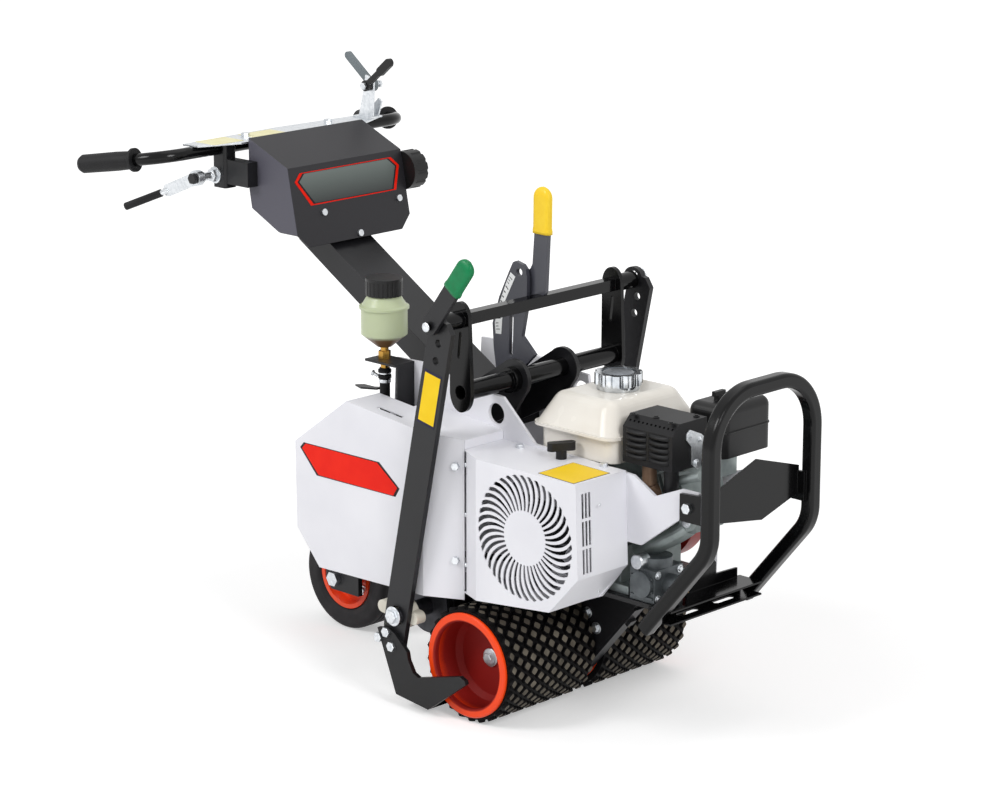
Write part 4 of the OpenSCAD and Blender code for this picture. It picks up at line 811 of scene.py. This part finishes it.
def on_arm(along, across, y):
    """A point on a blade arm, from its way along the arm and across it."""
    u = (math.sin(ARM_TILT), math.cos(ARM_TILT))
    return at(ECCENTRIC[0] + along * u[0] + across * u[1], y, ECCENTRIC[1] + along * u[1] - across * u[0])


for tag, side in (("right", -1), ("left", 1)):
    label = [on_arm(along, across, side * ARM_FACE) for along, across in rectangle(353, 448, -20, 20)]
    film(f"arm_label_edge_{tag}", label, (0, side, 0), 0.3, LABEL_EDGE, "blade")
    film(f"arm_label_{tag}", shrink(label, 4.0), (0, side, 0), 0.5, LABEL_YELLOW, "blade")


# Scale beside the depth lever's slot

SCALE_T = 0.4
SCALE_LEFT = ((-112, 719), (-121, 702), (-136, 667), (-149, 626), (-147, 607))
SCALE_RIGHT = ((-101, 713), (-112, 692), (-128, 662), (-132, 630), (-134, 608))
TICKS = 13
TICK_ENDS = (0.1, 0.9)
TICK_FOOT = 0.12
TICK_HALF = 0.007
TICK_LONG = 0.75
TICK_SHORT = 0.5
TICK_T = 0.2


def scale_point(k, share):
    """A point on the scale strip, k along it from 0 to 1 and a share across it."""
    spot = min(k * (len(SCALE_LEFT) - 1), len(SCALE_LEFT) - 1.001)
    i = int(spot)
    f = spot - i
    left = Vector(SCALE_LEFT[i]).lerp(Vector(SCALE_LEFT[i + 1]), f)
    right = Vector(SCALE_RIGHT[i]).lerp(Vector(SCALE_RIGHT[i + 1]), f)
    return left.lerp(right, share)


bm = bmesh.new()
slab(bm, [at(x, QUADRANT_Y, z) for x, z in (*SCALE_LEFT, *reversed(SCALE_RIGHT))], RIGHT, SCALE_T)
for i in range(TICKS):
    k = TICK_ENDS[0] + (TICK_ENDS[1] - TICK_ENDS[0]) * i / (TICKS - 1)
    share = TICK_LONG if i % 3 == 0 else TICK_SHORT
    tick = [scale_point(k - TICK_HALF, TICK_FOOT), scale_point(k - TICK_HALF, share),
            scale_point(k + TICK_HALF, share), scale_point(k + TICK_HALF, TICK_FOOT)]
    slab(bm, [at(p[0], QUADRANT_Y - SCALE_T, p[1]) for p in tick], RIGHT, TICK_T, 1)
finish_piece("depth_scale", bm, [SCALE_WHITE, PANEL_BLACK], "chassis")


# Fasteners and fittings

TAIL_X = -505.0
TAIL_PITCH_R = 38.0
NUT_SEAT = 255.0
PIN_END = 266.0
CLIP_Y = 258.0
bm = bmesh.new()
for side in (-1, 1):
    for k in range(4):
        a = math.radians(45 + 90 * k)
        seat = at(TAIL_X + TAIL_PITCH_R * math.cos(a), side * 8, AXLE_Z + TAIL_PITCH_R * math.sin(a))
        bolt(bm, seat, (0, side, 0), 6)
finish_piece("tail_rim_bolts", bm, [ZINC], "tail_wheel")

bm = bmesh.new()
for side in (-1, 1):
    seat = at(ECCENTRIC[0], side * NUT_SEAT, ECCENTRIC[1])
    turned(bm, seat, (0, side, 0), ((17, 0), (17, 1.5), (16, 2)), 28)
    turned(bm, seat, (0, side, 0), ((12, 1.8), (12, 8), (10, 9.5)), 6)
finish_piece("eccentric_nuts", bm, [ZINC], "eccentric")

bm = bmesh.new()
for side in (-1, 1):
    turned(bm, at(PIN[0], side * PIN_END, PIN[1]), (0, side, 0), ((8, 0), (8, 1.2), (6, 2.4), (2, 2.9)), 24)
clip = [at(x, CLIP_Y, z) for x, z in circle(PIN[0], PIN[1] + 6, 11, 24)]
rod(bm, clip + clip[:1], 1.2, 8)
finish_piece("rocker_pin_ends", bm, [ZINC], "rocker")

CORNER_NORMAL = (-28, -54, 0)
bm = bmesh.new()
for z in (439, 353, 266):
    dome(bm, at(-22, -204.2, z), CORNER_NORMAL, 4)
for z in (423, 278):
    dome(bm, at(256, -182, z), FRONT, 2.5)
finish_piece("cover_rivets", bm, [ZINC], "chassis")

bm = bmesh.new()
for x, z in ((76, 160), (97, 137)):
    bolt(bm, at(x, -12, z), RIGHT, 7)
finish_piece("chain_case_bolts", bm, [ZINC], "chassis")

bm = bmesh.new()
stub = at(-680, -164, 834)
turned(bm, stub, RIGHT, ((15, 0), (15, 3), (13, 3.4)), 28)
turned(bm, stub, RIGHT, ((12, 3), (12, 12), (10.5, 13.5)), 6)
turned(bm, stub, RIGHT, ((8.5, 13), (8.5, 15), (7.6, 16), (7.6, 30), (8.5, 31), (8.5, 34)), 24)
turned(bm, stub, RIGHT, ((12, 34), (12, 36.5), (11, 37)), 28)
finish_piece("lever_stub", bm, [ZINC], "chassis")

HOSE = (-290.0, -130.0)
bm = bmesh.new()
for z in (519, 534):
    turned(bm, at(*HOSE, z), UP, ((9.2, 0), (10.6, 0.4), (10.6, 6), (9.2, 6.4)), 28)
turned(bm, at(HOSE[0] - 10, HOSE[1] - 7, 530), (-0.8, -0.4, 0.45), ((3, 0), (3, 8), (5, 8), (5, 12)), 12)
finish_piece("hose_clamp", bm, [ZINC], "chassis")

TAB_Z = 500.0
TAB_CORNERS = ((-362, -132), (-352, -120), (-326, -120), (-314, -112), (-314, -126), (-340, -140))
tab = [at(x, y, TAB_Z) for x, y in TAB_CORNERS]
film("bracket_tab", tab, UP, 3, BLACK, "chassis")


# Engine and pump fittings

MUFFLER_SIDE = -92.0
MUFFLER_TOP = 549.0
BRACKET_X = 330.0
BRACKET_T = 2.5
bracket = ((-60, 531), (-52, 536), (-24, 524), (-15, 517), (-21, 501), (-24, 470), (-31, 466), (-46, 477),
           (-47, 506), (-60, 520))
bm = bmesh.new()
slab(bm, [at(BRACKET_X, y, z) for y, z in bracket], FRONT, BRACKET_T)
for y, z in ((-50, 526), (-27, 516), (-36, 478)):
    bolt(bm, at(BRACKET_X + BRACKET_T, y, z), FRONT, 4)
finish_piece("muffler_bracket", bm, [ZINC], "chassis")

LOUVRE_FIRST = (231, 482)
LOUVRE_PITCH = (48, 10)
LOUVRE_W = 44.0
LOUVRE_H = 6.5
LOUVRE_OUT = 5.5
LOUVRE_STEPS = 14
ARC_STEPS = 5
bm = bmesh.new()
for column in (0, 1):
    for row in range(5):
        x0 = LOUVRE_FIRST[0] + column * LOUVRE_PITCH[0]
        z0 = LOUVRE_FIRST[1] + row * LOUVRE_PITCH[1]
        hood = []
        for u in range(LOUVRE_STEPS + 1):
            x = x0 + LOUVRE_W * u / LOUVRE_STEPS
            bulge = 0.2 + LOUVRE_OUT * max(0.0, math.sin(math.pi * u / LOUVRE_STEPS)) ** 0.6
            arc = [0.5 * math.pi * v / ARC_STEPS for v in range(ARC_STEPS + 1)]
            curve = [at(x, MUFFLER_SIDE - bulge * math.sin(a), z0 + LOUVRE_H * math.cos(a)) for a in arc]
            back = [at(x, MUFFLER_SIDE + 1, z0), at(x, MUFFLER_SIDE + 1, z0 + LOUVRE_H)]
            hood.append([bm.verts.new(p) for p in curve + back])
        sides = skin(bm, hood)
        for k, face in enumerate(sides):
            face.smooth = k % len(hood[0]) < ARC_STEPS
        faces = [bm.faces.new(hood[0]), bm.faces.new(hood[-1]), *sides]
        bmesh.ops.recalc_face_normals(bm, faces=faces)
for x, y in ((238, -82), (276, -70), (318, -82), (318, -20)):
    bolt(bm, at(x, y, MUFFLER_TOP), UP, 3.5)
finish_piece("muffler_louvres", bm, [HOT_BLACK], "chassis")

bm = bmesh.new()
outlet = [at(256, -62, 474), at(256, -62, 452), at(258, -62, 434), at(264, -56, 422), at(270, -44, 416)]
rod(bm, eased(outlet), 12, 20)
finish_piece("exhaust_pipe", bm, [PIPE_BROWN], "chassis")

bm = bmesh.new()
rod(bm, [at(298, -62, 443), at(362, -58, 466)], 8, 18)
turned(bm, at(300, -62, 444), (-0.94, 0, -0.34), ((8, 0), (8, 3), (5, 5), (5, 7)), 18, 2)
rod(bm, eased([at(228, -52, 312), at(270, -54, 334), at(310, -54, 358), at(334, -52, 376)]), 16, 22)
lug = ((322, 394), (354, 404), (358, 391), (342, 370), (326, 376))
slab(bm, [at(x, -52, z) for x, z in lug], RIGHT, 14)
bolt(bm, at(339, -66, 386), RIGHT, 6, 1)
finish_piece("cylinder_lugs", bm, [ALLOY, ZINC, BRASS], "chassis")

PUMP_SIDE = -98.0
FIN_FOOT = 252
FIN_RISE = 11
FIN_H = 3.5
bm = bmesh.new()
turned(bm, at(266, -82, 311), RIGHT, ((13, 0), (13, 19), (11.5, 22)), 28, 1)
for k in range(4):
    z0 = FIN_FOOT + k * FIN_RISE
    slab(bm, [at(x, PUMP_SIDE, z) for x, z in rectangle(251, 298, z0, z0 + FIN_H)], RIGHT, 3)
for y, z in ((-90, 253), (-90, 293), (-36, 253), (-36, 293)):
    bolt(bm, at(301, y, z), FRONT, 4.5, 1)
turned(bm, at(328, -63, 273), FRONT, ((14, 0), (14, 4), (9, 5), (9, 12), (7, 13)), 6, 2)
finish_piece("pump_fittings", bm, [HYDRO_IRON, ZINC, BRASS], "chassis")

bm = bmesh.new()
turned(bm, at(131, 0, 584.2), UP, ((27.4, 0), (26.6, 2.6), (22, 4.8), (12, 6.4), (3, 6.9)), 36)
finish_piece("cap_dome", bm, [CAP_GREY], "fuel_lid")

CLEANER = rectangle(255, 335, 28, 153)
CLEANER_R = 16.0
CLEANER_Z = 512.0
CLEANER_LIP = CLEANER_R + 0.4
bm = bmesh.new()
ring = []
for i, (x, y) in enumerate(CLEANER):
    cx = x + math.copysign(CLEANER_R, CLEANER[(i + 2) % 4][0] - x)
    cy = y + math.copysign(CLEANER_R, CLEANER[(i + 2) % 4][1] - y)
    for k in range(7):
        a = math.radians(180 + 90 * i + 15 * k)
        ring.append(at(cx + CLEANER_LIP * math.cos(a), cy + CLEANER_LIP * math.sin(a), CLEANER_Z))
rod(bm, ring + ring[:1], 1.5, 8)
finish_piece("air_cleaner_seam", bm, [PLASTIC], "chassis")


# Starter cord, wound up inside the housing at rest

STARTER = (211.0, 430.0)
CORD_R = 2.2
bm = bmesh.new()
rod(bm, [at(STARTER[0], y, STARTER[1]) for y in range(124, 141, 2)], CORD_R, 10)
cord = finish_piece("starter_cord", bm, [BELT], None)
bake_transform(cord)


# Camera at the photograph's viewing angle

cam_data = bpy.data.cameras.new("camera")
cam_data.lens = 114.91
cam_data.sensor_width = 36.0
cam_data.clip_end = 50.0
camera = bpy.data.objects.new("camera", cam_data)
scene.collection.objects.link(camera)
camera.location = at(3539.2, -3810.4, 1872.7)
look = Vector((-0.6722, 0.6960, -0.2526))
camera.rotation_euler = look.to_track_quat("-Z", "Y").to_euler()
scene.camera = camera


# Soft studio light over a pale floor

def area_lamp(name, place, target, size, power):
    """A round soft lamp that shines from a place at a target."""
    data = bpy.data.lights.new(name, "AREA")
    data.shape = "DISK"
    data.size = size
    data.energy = power
    lamp = bpy.data.objects.new(name, data)
    lamp.location = place
    lamp.rotation_euler = (Vector(target) - Vector(place)).to_track_quat("-Z", "Y").to_euler()
    scene.collection.objects.link(lamp)


area_lamp("key_lamp", place=(-1.4, -3.6, 3.4), target=(0, 0, 0.4), size=1.8, power=90)
area_lamp("front_lamp", place=(3.6, -1.2, 2.6), target=(0.1, 0, 0.4), size=1.4, power=62)
area_lamp("top_lamp", place=(0.2, 0.6, 4.0), target=(0, 0, 0.3), size=3.0, power=18)

PLAIN_WHITE = (1.0, 1.0, 1.0, 1.0)


def seen_rays(tree):
    """A socket that is 1 for the rays that see the backdrop: camera, transmission and glossy ones."""
    path = add(tree, "ShaderNodeLightPath").outputs
    through = add(tree, "ShaderNodeMath", {"operation": "MAXIMUM"}, i0=path["Is Camera Ray"],
                  i1=path["Is Transmission Ray"]).outputs[0]
    return add(tree, "ShaderNodeMath", {"operation": "MAXIMUM"}, i0=through,
               i1=path["Is Glossy Ray"]).outputs[0]


world = bpy.data.worlds.new("studio")
scene.world = world
world.use_nodes = True
sky = world.node_tree
sky.nodes.clear()
fill_light = add(sky, "ShaderNodeBackground", Color=PLAIN_WHITE, Strength=0.5)
backdrop = add(sky, "ShaderNodeBackground", Color=PLAIN_WHITE, Strength=1.0)
both = add(sky, "ShaderNodeMixShader", i0=seen_rays(sky), i1=fill_light.outputs[0], i2=backdrop.outputs[0])
add(sky, "ShaderNodeOutputWorld", Surface=both.outputs[0])

floor_mat = bpy.data.materials.new("pale_floor")
floor_mat.use_nodes = True
tree = floor_mat.node_tree
tree.nodes.clear()
matt = add(tree, "ShaderNodeBsdfDiffuse", Color=(0.8, 0.8, 0.8, 1.0))
place = add(tree, "ShaderNodeTexCoord").outputs["Object"]
away = add(tree, "ShaderNodeVectorMath", {"operation": "LENGTH"}, i0=place).outputs["Value"]
whiten = add(tree, "ShaderNodeMapRange", Value=away, From_Min=0.7, From_Max=2.4, To_Min=0.38, To_Max=0.7)
lift = add(tree, "ShaderNodeEmission", Color=PLAIN_WHITE, Strength=whiten.outputs[0])
glow = add(tree, "ShaderNodeAddShader", i0=matt.outputs[0], i1=lift.outputs[0])
pick = add(tree, "ShaderNodeMixShader", i0=seen_rays(tree), i1=matt.outputs[0], i2=glow.outputs[0])
add(tree, "ShaderNodeOutputMaterial", Surface=pick.outputs[0])
FLOOR_HALF = 12.0
floor_corners = [(x, y, 0) for x, y in rectangle(-FLOOR_HALF, FLOOR_HALF, -FLOOR_HALF, FLOOR_HALF)]
floor_mesh = bpy.data.meshes.new("floor")
floor_mesh.from_pydata(floor_corners, [], [(0, 1, 2, 3)])
floor_mesh.materials.append(floor_mat)
floor = bpy.data.objects.new("floor", floor_mesh)
scene.collection.objects.link(floor)

scene.view_settings.view_transform = "Standard"
